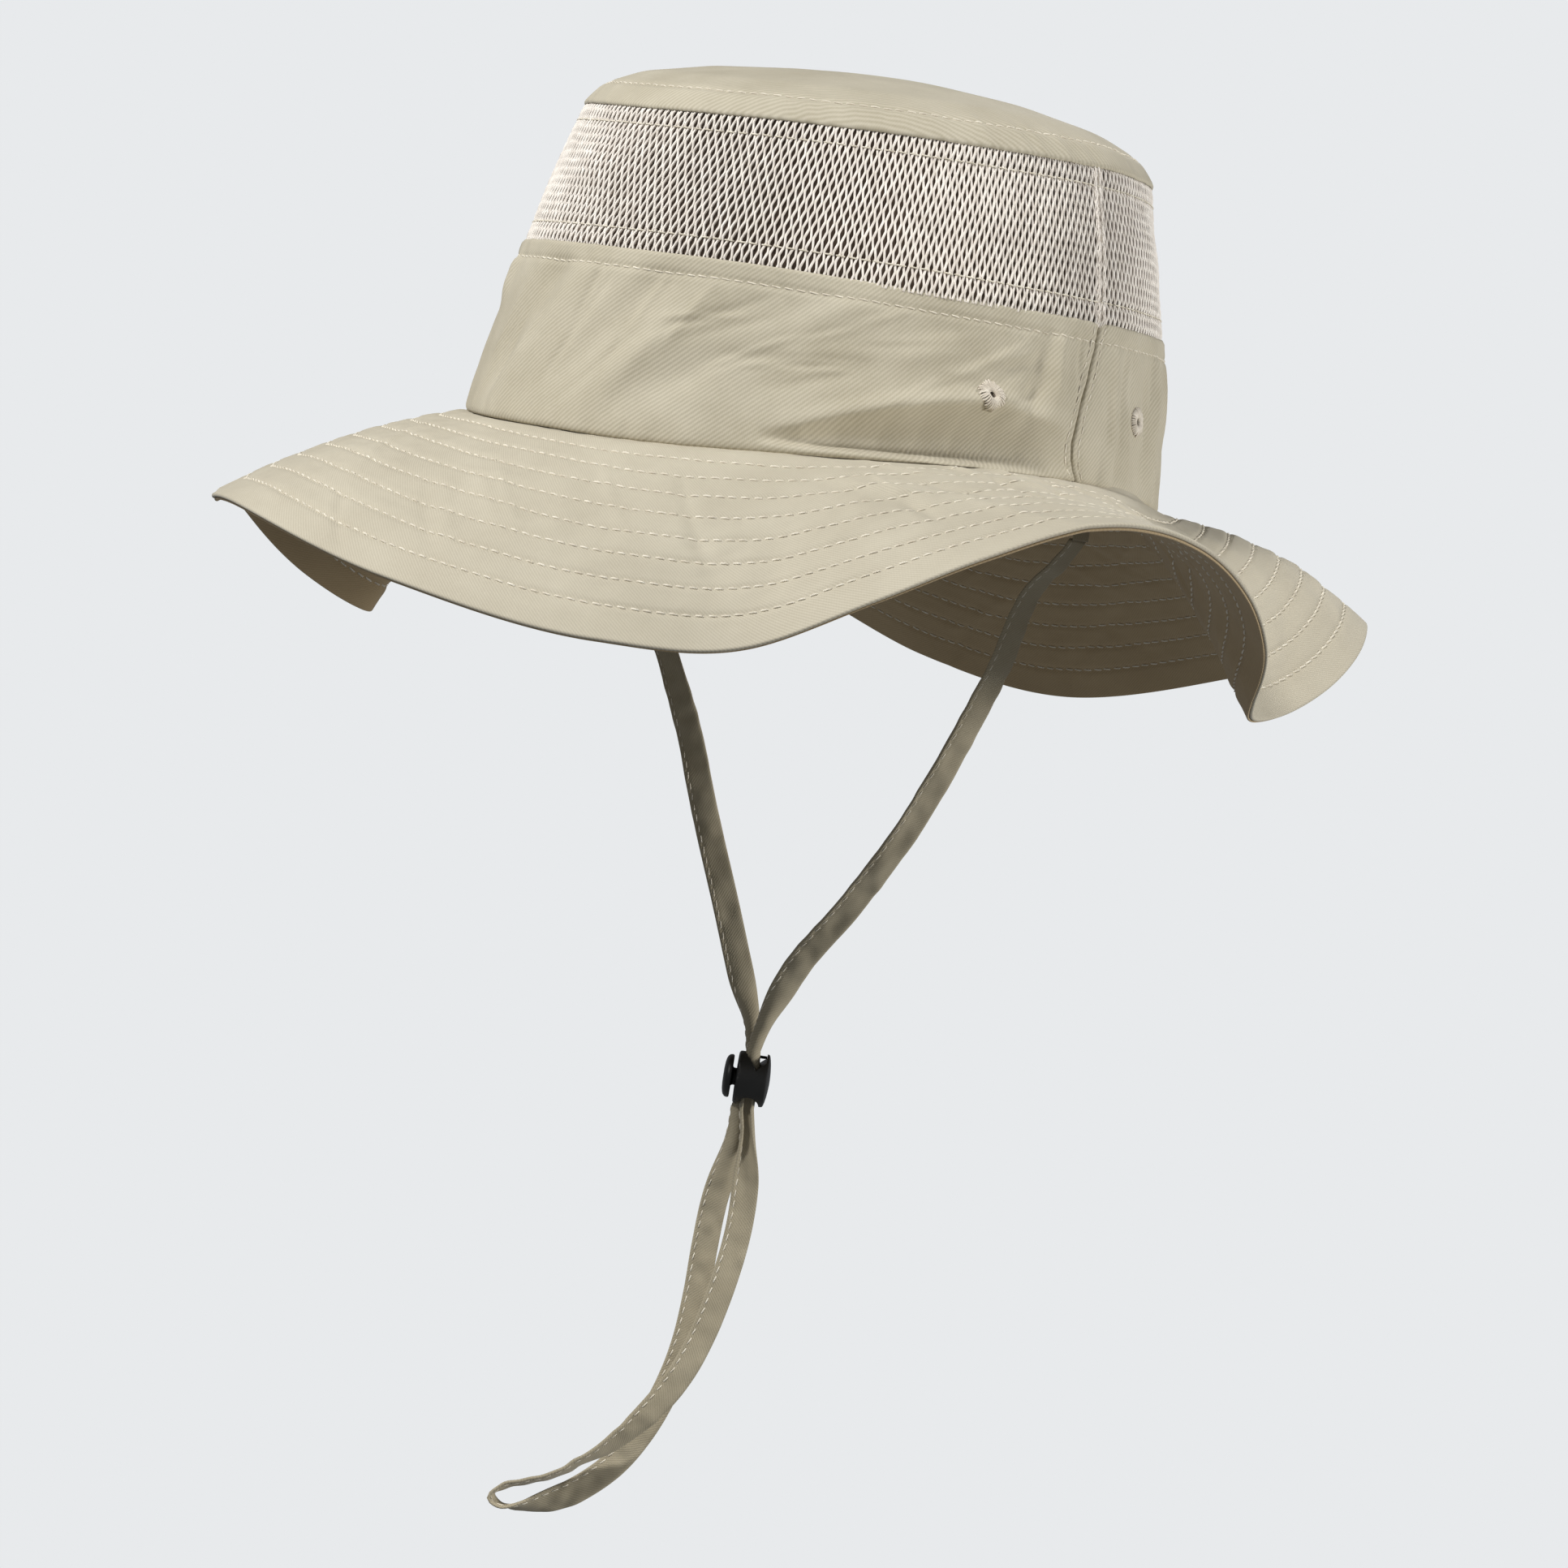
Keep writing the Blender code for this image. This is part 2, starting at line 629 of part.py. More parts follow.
def main():
    for obj in list(bpy.data.objects):
        bpy.data.objects.remove(obj)
    hat = bpy.data.collections.new("boonie_hat")
    cutters = bpy.data.collections.new("cutters")
    bpy.context.scene.collection.children.link(hat)
    bpy.context.scene.collection.children.link(cutters)

    cloth = ((0.45, 0.41, 0.30), 0.85)
    net = ((0.50, 0.44, 0.38), 0.8)
    inner = ((0.30, 0.26, 0.19), 0.9)
    thread = ((0.55, 0.47, 0.38), 0.8)
    plastic = ((0.012, 0.012, 0.011), 0.4)
    steel = ((0.6, 0.6, 0.6), 0.3, 1.0)

    front = side_panel("side_panel_front", -90, cloth, hat)
    back = side_panel("side_panel_back", 90, cloth, hat)
    mesh_panel("mesh_panel_front", -90, net, hat)
    mesh_panel("mesh_panel_back", 90, net, hat)
    crown_top("crown_top", cloth, hat)

    brim_ply("brim_upper", 0.0, PLY_TOP, BRIM_SHARES, cloth, hat)
    brim_ply("brim_stiffener", PLY_TOP + GAP, PLY_MIDDLE, BRIM_SHARES[:-1], inner, hat)
    brim_ply("brim_lower", PLY_TOP + PLY_MIDDLE + 2 * GAP, PLY_TOP, BRIM_SHARES, inner, hat)

    inside = CLOTH + GAP
    band = [wall_section(psi, [SWEATBAND_LOW_Z, SWEATBAND_TOP_Z], inside, TAPE) for psi in all_round()]
    shell("sweatband", band, True, hat, inner)
    rings = (("mesh_seam_tape", MESH_LOW_Z - 0.004, MESH_LOW_Z + 0.004),
             ("crown_seam_tape", MESH_HIGH_Z - 0.006, MESH_HIGH_Z - 0.0005))
    for name, low, high in rings:
        columns = [wall_section(psi, [low, high], inside, TAPE) for psi in all_round()]
        shell(name, columns, True, hat, inner)
    step = math.radians(4.0)
    for name, middle in (("side_seam_tape_left", 90), ("side_seam_tape_right", 270)):
        psi = math.radians(middle)
        heights = [SWEATBAND_TOP_Z + GAP, MESH_LOW_Z - 0.004 - GAP]
        columns = [wall_section(psi + k * step, heights, inside, TAPE) for k in (-1, 0, 1)]
        shell(name, columns, False, hat, inner)

    for side, sign in (("left", 1), ("right", -1)):
        for place, panel in (("front", front), ("back", back)):
            psi = math.radians(sign * EYELET_PSI[place])
            eyelet(f"eyelet_{side}_{place}", psi, hat, thread, cutters, panel)

    for side, sign in (("left", 1), ("right", -1)):
        tab(f"strap_anchor_{side}", sign, hat, cloth)
    chin_strap(hat, cloth)
    cord_lock(hat, cutters, plastic, plastic, steel)


main()
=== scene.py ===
"""Looks of the boonie hat: quilted brim, wrinkled cloth crown, knitted mesh band, chin strap and
cord lock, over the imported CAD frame. Lengths are in mm until a mesh is made; +Z is up the crown
and -Y is the front. psi is an angle round the crown in degrees, from the front towards the
wearer's left.
"""

import math

import bmesh
import bpy
import numpy as np
from mathutils import Matrix, Vector


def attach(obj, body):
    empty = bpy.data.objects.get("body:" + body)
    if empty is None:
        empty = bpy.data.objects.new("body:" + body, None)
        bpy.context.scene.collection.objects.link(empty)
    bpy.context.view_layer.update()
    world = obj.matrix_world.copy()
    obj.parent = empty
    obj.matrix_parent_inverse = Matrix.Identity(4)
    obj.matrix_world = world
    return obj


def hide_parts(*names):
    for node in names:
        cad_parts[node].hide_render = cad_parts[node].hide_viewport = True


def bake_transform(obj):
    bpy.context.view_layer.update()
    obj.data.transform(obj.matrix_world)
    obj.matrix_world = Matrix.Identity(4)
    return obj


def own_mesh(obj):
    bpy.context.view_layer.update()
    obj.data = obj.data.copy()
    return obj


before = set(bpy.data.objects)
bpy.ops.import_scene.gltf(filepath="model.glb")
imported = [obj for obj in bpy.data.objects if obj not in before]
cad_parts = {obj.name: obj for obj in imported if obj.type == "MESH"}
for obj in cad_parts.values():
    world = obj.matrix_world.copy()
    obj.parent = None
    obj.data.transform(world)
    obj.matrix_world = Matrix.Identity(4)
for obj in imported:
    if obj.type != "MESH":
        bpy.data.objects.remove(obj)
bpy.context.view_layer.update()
RAD = math.pi / 180.0
MM = 0.001
TAU = 2 * math.pi

# ---- sizes shared with the CAD
HEAD_HALF_WIDTH, HEAD_HALF_LENGTH = 86.0, 98.0
MESH_LOW, MESH_HIGH = 43.5, 82.0
CROWN_OUTLINE = [
    (1.000, -20.0), (1.000, 0.0), (0.908, 43.5), (0.800, 82.0), (0.755, 87.0),
    (0.655, 91.5), (0.470, 95.5), (0.240, 98.0), (0.000, 99.0),
]
BRIM_STATIONS = [
    (-54, -34, 15, 66), (-40, -33, 20, 68), (-25, -32, 20, 70), (-1, -43, 25, 70),
    (19, -49, 30, 70), (33, -45, 35, 70), (43, -30, 30, 70), (51, -17, 15, 70),
    (60, -6, 0, 70), (72, -7, 0, 69), (80, -16, 10, 68), (87, -28, 20, 68),
    (95, -42, 15, 66), (102, -47, 10, 65), (108, -45, 10, 65), (114, -38, 15, 65),
    (121, -28, 25, 65), (128, -21, 35, 65), (145, -28, 25, 68), (161, -41, 20, 70),
    (181, -55, 20, 70), (200, -50, 20, 70), (220, -32, 20, 70), (245, -25, 15, 70),
    (262, -35, 10, 70), (275, -48, 5, 69), (285, -57, 5, 66), (291, -58, 5, 65),
    (297, -51, 8, 65),
]
SEAM_STATIONS = [(-54, -1), (-10, -3), (11, -3), (36, 0), (61, 3), (88, 4), (126, 0), (180, -2), (240, 1)]
SAG_STATIONS = [(-54, -1.5), (0, -4.5), (25, -3.5), (60, -1.5), (95, 0), (180, 0), (250, -1)]
BULGE_PSI, BULGE = 126.0, 3.2
BRIM_CAD_THICK = 3.4
EYELETS = {"left_front": 64.0, "left_back": 104.0, "right_front": -64.0, "right_back": -104.0}
EYELET_Z = 21.0
LOCK_CENTRE = (10.8, 0.0, -162.0)
LOCK_YAW = 36.0
LOCK_WAY = (math.cos(LOCK_YAW * RAD), math.sin(LOCK_YAW * RAD), 0.0)
LOCK_RADIUS, LOCK_HALF = 6.95, 4.1

# the chin strap's route: x, y, z, then the turn of its flat face about Z
LEFT_ROUTE = [
    (83.2, 0, -10.4, 90), (79.5, 0, -16, 86), (71.5, 0, -27, 76), (65.5, 0, -47, 66),
    (55.6, 0, -71.5, 56), (44.5, 0, -94, 48), (33.0, 0, -112, 42), (20.9, -0.3, -129, 38),
    (14.0, -0.9, -144, 36), (11.0, -1.3, -154.2, 36),
]
RIGHT_ROUTE = [
    (-83.2, 0, -10.4, -90), (-78.5, 0, -16, -75), (-66.0, 0, -26, -50), (-52.0, 0, -41, -25),
    (-38.4, 0, -57, 0), (-26.6, 0, -77, 18), (-17.2, 0, -97, 28), (-6.5, 0, -118, 33),
    (2.1, 0.3, -136, 36), (7.0, 0.9, -146, 36), (9.0, 1.3, -154.2, 36),
]
# the loop below the lock: across the lock's face, depth towards the front, and z
LOOP_ROUTE = [
    (6.6, -1.3, -169.8), (6.4, -1.5, -182), (4.3, -2.0, -195), (3.6, -2.4, -208),
    (3.4, -2.8, -221), (2.4, -3.0, -234), (0.0, -3.0, -245.5), (-4.5, -3.0, -258),
    (-11.0, -3.0, -269), (-20.6, -2.6, -278), (-30.7, -1.6, -283), (-38.0, -0.6, -284),
    (-41.5, 0.0, -281.5), (-38.0, 0.6, -278.5), (-31.0, 1.6, -275.5), (-21.0, 2.6, -269.5),
    (-11.0, 3.0, -261), (-3.0, 3.0, -251), (2.8, 3.0, -241), (7.0, 3.0, -229),
    (10.0, 2.6, -215), (11.6, 2.2, -202), (11.6, 1.8, -190), (10.3, 1.5, -178),
    (8.8, 1.3, -169.8),
]
STRAP_WIDTH, STRAP_THICK = 7.0, 0.9
FOLDED = 4.7  # radians that the strap is folded through, lengthwise, inside the lock

# ---- the brim's usual width and middle radius, its lower face below its top face, the stitched
# rows as shares of its width, and where its cloth starts under the crown
BRIM_RUN, BRIM_MIDDLE = 68.0, 120.0
BRIM_END = 1.95
BRIM_ROWS = [(7.0 + 7.7 * k) / 70.0 for k in range(8)]
BRIM_ROOT = -0.04

# ---- camera, at the photo's viewing angle
CAMERA_AZIMUTH, CAMERA_DISTANCE, CAMERA_Z = 36.0, 1.0518, -0.0093
AIM_RIGHT, AIM_Z = 0.0052, -0.085
CAMERA_ROLL, CAMERA_LENS = 9.01, 92.8


def place_camera():
    a = CAMERA_AZIMUTH * RAD
    right = Vector((math.cos(a), math.sin(a), 0))
    back = Vector((math.sin(a), -math.cos(a), 0))
    place = back * CAMERA_DISTANCE + Vector((0, 0, CAMERA_Z))
    aim = right * AIM_RIGHT + Vector((0, 0, AIM_Z))
    look = (aim - place).to_track_quat("-Z", "Y").to_matrix().to_4x4()
    data = bpy.data.cameras.new("camera")
    data.lens = CAMERA_LENS
    data.sensor_width = 36.0
    data.clip_start = 0.05
    obj = add_object("camera", data)
    obj.matrix_world = Matrix.Translation(place) @ look @ Matrix.Rotation(CAMERA_ROLL * RAD, 4, "Z")
    bpy.context.scene.camera = obj


# ---- curves and noise
def periodic(stations, degrees):
    """Smooth closed curve through (angle, value, ...) stations, read at many angles."""
    table = np.array(stations, dtype=float)
    angles, n = table[:, 0], len(table)
    turn = angles[0] + (np.asarray(degrees, dtype=float) - angles[0]) % 360.0
    k = np.clip(np.searchsorted(angles, turn, side="right") - 1, 0, n - 1)

    def at(i):
        lap, j = np.divmod(i, n)
        return (angles[j] + 360.0 * lap)[..., None], table[j, 1:]

    (a0, v0), (a1, v1), (a2, v2), (a3, v3) = at(k - 1), at(k), at(k + 1), at(k + 2)
    d0, d1, d2 = (v1 - v0) / (a1 - a0), (v2 - v1) / (a2 - a1), (v3 - v2) / (a3 - a2)
    h0, h1, h2 = a1 - a0, a2 - a1, a3 - a2
    m1 = (d0 * h1 + d1 * h0) / (h0 + h1)
    m2 = (d1 * h2 + d2 * h1) / (h1 + h2)
    t = (turn[..., None] - a1) / h1
    start = v1 * (2 * t**3 - 3 * t**2 + 1) + h1 * m1 * (t**3 - 2 * t**2 + t)
    return start + v2 * (3 * t**2 - 2 * t**3) + h1 * m2 * (t**3 - t**2)


def run_of(points):
    return np.concatenate([[0.0], np.cumsum(np.linalg.norm(np.diff(points, axis=0), axis=1))])


def smooth_route(points, step):
    """Points a step apart on a smooth curve through the given ones."""
    pts = np.array(points, dtype=float)
    dense = []
    for i in range(len(pts) - 1):
        p0, p1, p2, p3 = pts[max(i - 1, 0)], pts[i], pts[i + 1], pts[min(i + 2, len(pts) - 1)]
        for t in np.linspace(0.0, 1.0, 24, endpoint=False):
            curve = 2 * p1 + (p2 - p0) * t + (2 * p0 - 5 * p1 + 4 * p2 - p3) * t**2
            dense.append(0.5 * (curve + (3 * p1 - p0 - 3 * p2 + p3) * t**3))
    dense.append(pts[-1])
    dense = np.array(dense)
    run = run_of(dense[:, :3])
    wanted = np.linspace(0.0, run[-1], max(2, round(run[-1] / step)) + 1)
    return np.stack([np.interp(wanted, run, dense[:, c]) for c in range(pts.shape[1])], axis=1)


def noise(x, y, seed, lap=512):
    """Smooth random field between -1 and 1, one bump a unit; it repeats every lap units of x."""
    table = np.random.RandomState(seed).uniform(-1, 1, (512, 128))
    x, y = np.broadcast_arrays(np.asarray(x, dtype=float), np.asarray(y, dtype=float))
    xi, yi = np.floor(x).astype(int), np.floor(y).astype(int)
    fx, fy = x - xi, y - yi
    fx, fy = fx * fx * (3 - 2 * fx), fy * fy * (3 - 2 * fy)

    def at(i, j):
        return table[(i % lap) % 512, j % 128]

    low = at(xi, yi) * (1 - fx) + at(xi + 1, yi) * fx
    high = at(xi, yi + 1) * (1 - fx) + at(xi + 1, yi + 1) * fx
    return low * (1 - fy) + high * fy


def around_noise(psi, period, y, seed):
    """Noise that meets itself after a turn round the crown, with bumps about period mm long."""
    lap = max(3, round(TAU * 92.0 / period))
    return noise(psi / 360.0 * lap, y, seed, lap)


def bump(x, width):
    return np.exp(-((x / width) ** 2))


def ease(x, low, high):
    t = np.clip((x - low) / (high - low), 0.0, 1.0)
    return t * t * (3 - 2 * t)


def turn_of(psi):
    return (psi + 180.0) % 360.0 - 180.0


def unit(v):
    return v / np.maximum(np.linalg.norm(v, axis=-1, keepdims=True), 1e-12)


# ---- meshes
def add_object(name, data, material=None):
    obj = bpy.data.objects.new(name, data)
    bpy.context.scene.collection.objects.link(obj)
    if material:
        data.materials.append(material)
    return obj


def make_piece(name, mesh, body, material):
    obj = add_object(name, mesh, material)
    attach(obj, body)
    return obj


def quad_mesh(name, points, faces, uv=None):
    """Smooth mesh of four-sided faces from points in mm, turned to face out."""
    pts = np.asarray(points, dtype=float).reshape(-1, 3) * MM
    a, b, c, d = (pts[faces[:, i]] for i in range(4))
    volume = np.einsum("ij,ij->", a, np.cross(b, c)) + np.einsum("ij,ij->", a, np.cross(c, d))
    if volume < 0:
        faces = faces[:, ::-1]
    mesh = bpy.data.meshes.new(name)
    mesh.vertices.add(len(pts))
    mesh.vertices.foreach_set("co", pts.astype(np.float32).ravel())
    mesh.loops.add(faces.size)
    mesh.loops.foreach_set("vertex_index", np.ascontiguousarray(faces, dtype=np.int32).ravel())
    mesh.polygons.add(len(faces))
    mesh.polygons.foreach_set("loop_start", np.arange(0, faces.size, 4, dtype=np.int32))
    mesh.polygons.foreach_set("use_smooth", np.ones(len(faces), dtype=bool))
    mesh.update(calc_edges=True)
    if uv is not None:
        flat = np.asarray(uv, dtype=float).reshape(-1, 2)[faces]
        u = flat[..., 0]
        lap = np.ptp(u)
        wide = np.ptp(u, axis=1) > lap / 2
        u[wide] += np.where(u[wide] < u[wide].mean(axis=1, keepdims=True), lap, 0.0)
        cloth = mesh.uv_layers.new(name="cloth")
        cloth.data.foreach_set("uv", (flat * MM).astype(np.float32).ravel())
    return mesh


def loft_faces(columns, rows, wrap):
    """Quads of a lofted solid whose section is a closed loop of rows points (even when capped)."""
    index = np.arange(columns * rows).reshape(columns, rows)
    a = index if wrap else index[:-1]
    b = np.roll(index, -1, 0) if wrap else index[1:]
    quads = np.stack([a, b, np.roll(b, -1, 1), np.roll(a, -1, 1)], -1).reshape(-1, 4)
    if wrap:
        return quads
    j = np.arange(rows // 2 - 1)
    first, last = (
        np.stack([c[j], c[j + 1], c[rows - 2 - j], c[rows - 1 - j]], -1) for c in (index[0], index[-1])
    )
    return np.concatenate([quads, first, last[:, ::-1]])


def loft(name, section, wrap, uv):
    return quad_mesh(name, section, loft_faces(section.shape[0], section.shape[1], wrap), uv)


def layer(name, outer, inner, wrap, uv):
    """Closed cloth layer between two grids of points with the same rows."""
    section = np.concatenate([outer, inner[:, ::-1]], axis=1)
    return loft(name, section, wrap, np.concatenate([uv, uv[:, ::-1]], axis=1))


def tube_mesh(name, tubes):
    """One mesh of many tubes, given as (tubes, steps, sides, 3) points."""
    count, steps, sides = tubes.shape[:3]
    one = loft_faces(steps, sides, False)
    faces = (np.arange(count) * steps * sides)[:, None, None] + one[None]
    return quad_mesh(name, tubes, faces.reshape(-1, 4))


def tubes_along(centre, up, radius, sides=6):
    """Tubes about (lines, steps, 3) centres; up is roughly away from the surface they lie on."""
    along = unit(np.gradient(centre, axis=1))
    side = unit(np.cross(along, up))
    up = np.cross(side, along)
    ring = (np.arange(sides) + 0.5) * TAU / sides
    c, s = np.cos(ring)[None, None, :, None], np.sin(ring)[None, None, :, None]
    return centre[:, :, None] + radius * (side[:, :, None] * c + up[:, :, None] * s)


STITCH_T = np.array([0.0, 0.12, 0.5, 0.88, 1.0])
STITCH_H = np.array([-1.3, 0.35, 0.75, 0.35, -1.3])
STITCH_R = np.array([0.55, 0.95, 1.0, 0.95, 0.55])


def stitches(line, normal, pitch=3.0, length=2.45, radius=0.2, slant=0.12, seed=1):
    """A row of thread stitches lying along a line on a surface: (stitches, 5, 6, 3) points."""
    run = run_of(line)
    count = max(1, int(run[-1] / pitch))
    rng = np.random.RandomState(seed)
    start = (np.arange(count) + 0.15) * run[-1] / count + rng.uniform(-0.12, 0.12, count)
    size = length * run[-1] / count / pitch * rng.uniform(0.93, 1.05, count)
    s = np.clip(start[:, None] + size[:, None] * STITCH_T, 0, run[-1])

    def read(values, where):
        return np.stack([np.interp(where, run, values[:, c]) for c in range(3)], -1)

    at, up = read(line, s), read(normal, s)
    along = unit(read(line, np.clip(s + 0.3, 0, run[-1])) - read(line, np.clip(s - 0.3, 0, run[-1])))
    side = unit(np.cross(along, up))
    lean = slant + rng.uniform(-0.05, 0.05, count)
    at = at + side * ((STITCH_T - 0.5) * 2)[None, :, None] * lean[:, None, None]
    at = at + up * (STITCH_H * radius)[None, :, None]
    ring = np.arange(6) * TAU / 6
    c, s = np.cos(ring)[None, None, :, None], np.sin(ring)[None, None, :, None]
    spoke = side[:, :, None] * c + up[:, :, None] * s
    return at[:, :, None] + (STITCH_R * radius)[None, :, None, None] * spoke


def stitch_piece(name, rows):
    make_piece(name, tube_mesh(name, np.concatenate(rows)), "hat", THREAD)


def around(count):
    """Angles of a whole turn in degrees, as one column."""
    return np.linspace(-180, 180, count, endpoint=False)[:, None]


def cloth_uv(psi, z, radius=88.0):
    """Flat position in mm of a point of cloth wrapped round the head."""
    return np.stack([-psi * RAD * radius + 0 * z, z], -1)


# ---- materials
def new_material(name, roughness, sheen=0.0, specular=0.25):
    mat = bpy.data.materials.new(name)
    mat.use_nodes = True
    shader = mat.node_tree.nodes["Principled BSDF"]
    shader.inputs["Roughness"].default_value = roughness
    shader.inputs["Sheen Weight"].default_value = sheen
    shader.inputs["Specular IOR Level"].default_value = specular
    return mat, mat.node_tree, shader


def add(tree, kind, **inputs):
    node = tree.nodes.new(kind)
    for key, value in inputs.items():
        socket = node.inputs[key.replace("_", " ")]
        if isinstance(value, bpy.types.NodeSocket):
            tree.links.new(value, socket)
        else:
            socket.default_value = value
    return node


def weigh(tree, a, factor, b):
    """a times factor, plus b."""
    node = tree.nodes.new("ShaderNodeMath")
    node.operation = "MULTIPLY_ADD"
    tree.links.new(a, node.inputs[0])
    node.inputs[1].default_value = factor
    if isinstance(b, bpy.types.NodeSocket):
        tree.links.new(b, node.inputs[2])
    else:
        node.inputs[2].default_value = b
    return node.outputs[0]


def wave(tree, vector, scale, direction, distortion=0.0):
    node = add(tree, "ShaderNodeTexWave", Vector=vector, Scale=scale, Distortion=distortion)
    node.bands_direction = direction
    return node.outputs["Fac"]


def ramp(tree, factor, stops):
    node = tree.nodes.new("ShaderNodeValToRGB")
    for element, (place, colour) in zip(node.color_ramp.elements, stops):
        element.position = place
        element.color = (*colour, 1)
    tree.links.new(factor, node.inputs["Fac"])
    return node.outputs["Color"]


def cloth_material(name, dark, light, pitch=0.95, depth=0.10, roughness=0.78):
    """Fine diagonal twill: ribs, crossing yarns, slubs and a slow change of shade."""
    mat, tree, shader = new_material(name, roughness, 0.10)
    coord = tree.nodes.new("ShaderNodeUVMap")
    coord.uv_map = "cloth"
    uv = coord.outputs["UV"]
    rib = wave(tree, uv, 0.4443 / (pitch * MM), "DIAGONAL", 0.8)
    yarn = wave(tree, uv, 0.3142 / (0.45 * MM), "X")
    slub = add(tree, "ShaderNodeTexNoise", Vector=uv, Scale=1400.0, Detail=3.0).outputs["Fac"]
    shade = add(tree, "ShaderNodeTexNoise", Vector=uv, Scale=45.0, Detail=5.0, Roughness=0.6).outputs["Fac"]
    weave = weigh(tree, rib, 0.75, weigh(tree, yarn, 0.2, weigh(tree, slub, 0.5, 0.0)))
    tint = weigh(tree, weave, 0.42, weigh(tree, shade, 0.8, -0.22))
    tree.links.new(ramp(tree, tint, [(0.15, dark), (0.85, light)]), shader.inputs["Base Color"])
    relief = add(tree, "ShaderNodeBump", Strength=0.5, Distance=depth * MM, Height=weave)
    tree.links.new(relief.outputs["Normal"], shader.inputs["Normal"])
    return mat


def thread_material(name, dark, light):
    """Twisted thread, its shade changing a little from stitch to stitch."""
    mat, tree, shader = new_material(name, 0.6, 0.1)
    place = tree.nodes.new("ShaderNodeTexCoord").outputs["Object"]
    shade = add(tree, "ShaderNodeTexNoise", Vector=place, Scale=420.0, Detail=2.0).outputs["Fac"]
    tree.links.new(ramp(tree, shade, [(0.3, dark), (0.7, light)]), shader.inputs["Base Color"])
    ply = wave(tree, place, 0.4443 / (0.35 * MM), "DIAGONAL", 2.0)
    relief = add(tree, "ShaderNodeBump", Strength=0.5, Distance=0.08 * MM, Height=ply)
    tree.links.new(relief.outputs["Normal"], shader.inputs["Normal"])
    return mat


def hard_material(name, colour, roughness, metallic=0.0):
    """Moulded nylon or steel: faint grain and handling scuffs."""
    mat, tree, shader = new_material(name, roughness, specular=0.5)
    shader.inputs["Metallic"].default_value = metallic
    place = tree.nodes.new("ShaderNodeTexCoord").outputs["Object"]
    shade = add(tree, "ShaderNodeTexNoise", Vector=place, Scale=260.0, Detail=4.0).outputs["Fac"]
    light = tuple(c * 1.5 + 0.002 for c in colour)
    tree.links.new(ramp(tree, shade, [(0.35, colour), (0.75, light)]), shader.inputs["Base Color"])
    grain = add(tree, "ShaderNodeTexNoise", Vector=place, Scale=4200.0, Detail=2.0).outputs["Fac"]
    relief = add(tree, "ShaderNodeBump", Strength=0.3, Distance=0.03 * MM, Height=grain)
    tree.links.new(relief.outputs["Normal"], shader.inputs["Normal"])
    return mat


CLOTH = cloth_material("sand_twill", (0.385, 0.345, 0.250), (0.590, 0.545, 0.435))
BRIM_CLOTH = cloth_material("sand_twill_brim", (0.435, 0.392, 0.300), (0.575, 0.532, 0.424), 0.55, 0.07)
# the brim's lower ply: the same fine twill, its colour darker and browner as painted shade with a warm cast
# of light bounced under the brim
SHADED_UNDER_CLOTH = cloth_material("sand_twill_under_painted_shade", (0.385, 0.285, 0.161), (0.500, 0.386, 0.230), 0.55, 0.05)
STRAP_CLOTH = cloth_material("sand_strap", (0.335, 0.290, 0.198), (0.455, 0.405, 0.295), 0.6, 0.08)
LINING = cloth_material("sand_lining", (0.38, 0.33, 0.23), (0.50, 0.44, 0.32), 0.5, 0.08)
THREAD = thread_material("cream_thread", (0.62, 0.56, 0.45), (0.86, 0.81, 0.69))
EYELET_THREAD = thread_material("eyelet_thread", (0.60, 0.54, 0.45), (0.82, 0.76, 0.66))
# dark brown under the eyelet loops and down in their holes: painted shade
EYELET_SHADE = thread_material("eyelet_painted_shade", (0.16, 0.13, 0.10), (0.24, 0.20, 0.15))
NET = thread_material("knit_yarn", (0.74, 0.68, 0.61), (0.97, 0.92, 0.85))
# a fine backing net behind the knit, its colour darkened to dark brown as painted shade of the inside of
# the crown
BACKING_AND_SHADE = thread_material("knit_backing_and_painted_shade", (0.120, 0.088, 0.064), (0.200, 0.152, 0.115))
BLACK = hard_material("black_nylon", (0.005, 0.005, 0.0045), 0.42)
STEEL = hard_material("spring_steel", (0.45, 0.45, 0.46), 0.3, 1.0)


# ---- shape of the hat
def crown_outline():
    """The crown's rounded profile: share of the head's radius, height, and which way it faces."""
    corners = np.array(CROWN_OUTLINE) * (92.0, 1.0)
    corners = np.concatenate([corners, corners[-2::-1] * (-1.0, 1.0)])
    run = run_of(corners)
    s = np.arange(0.0, run[-1], 0.1)
    blur = np.exp(-((np.arange(-60, 61) / 20.0) ** 2))
    blur /= blur.sum()
    line = np.stack([np.convolve(np.interp(s, run, corners[:, c]), blur, "same") for c in (0, 1)], -1)
    line = line[60:]
    line = line[: np.argmax(line[:, 0] <= 0.0)]
    way = unit(np.gradient(line, axis=0))
    return np.column_stack([line[:, 0] / 92.0, line[:, 1], way[:, 1], -way[:, 0]]), run_of(line)


OUTLINE, ARC = crown_outline()


def head_radius(psi):
    a, b = HEAD_HALF_WIDTH, HEAD_HALF_LENGTH
    return a * b / np.hypot(b * np.sin(psi * RAD), a * np.cos(psi * RAD))


def seam_z(psi):
    return periodic(SEAM_STATIONS, psi)[..., 0]


def outward(psi):
    return np.stack([np.sin(psi * RAD), -np.cos(psi * RAD), 0 * psi], -1)


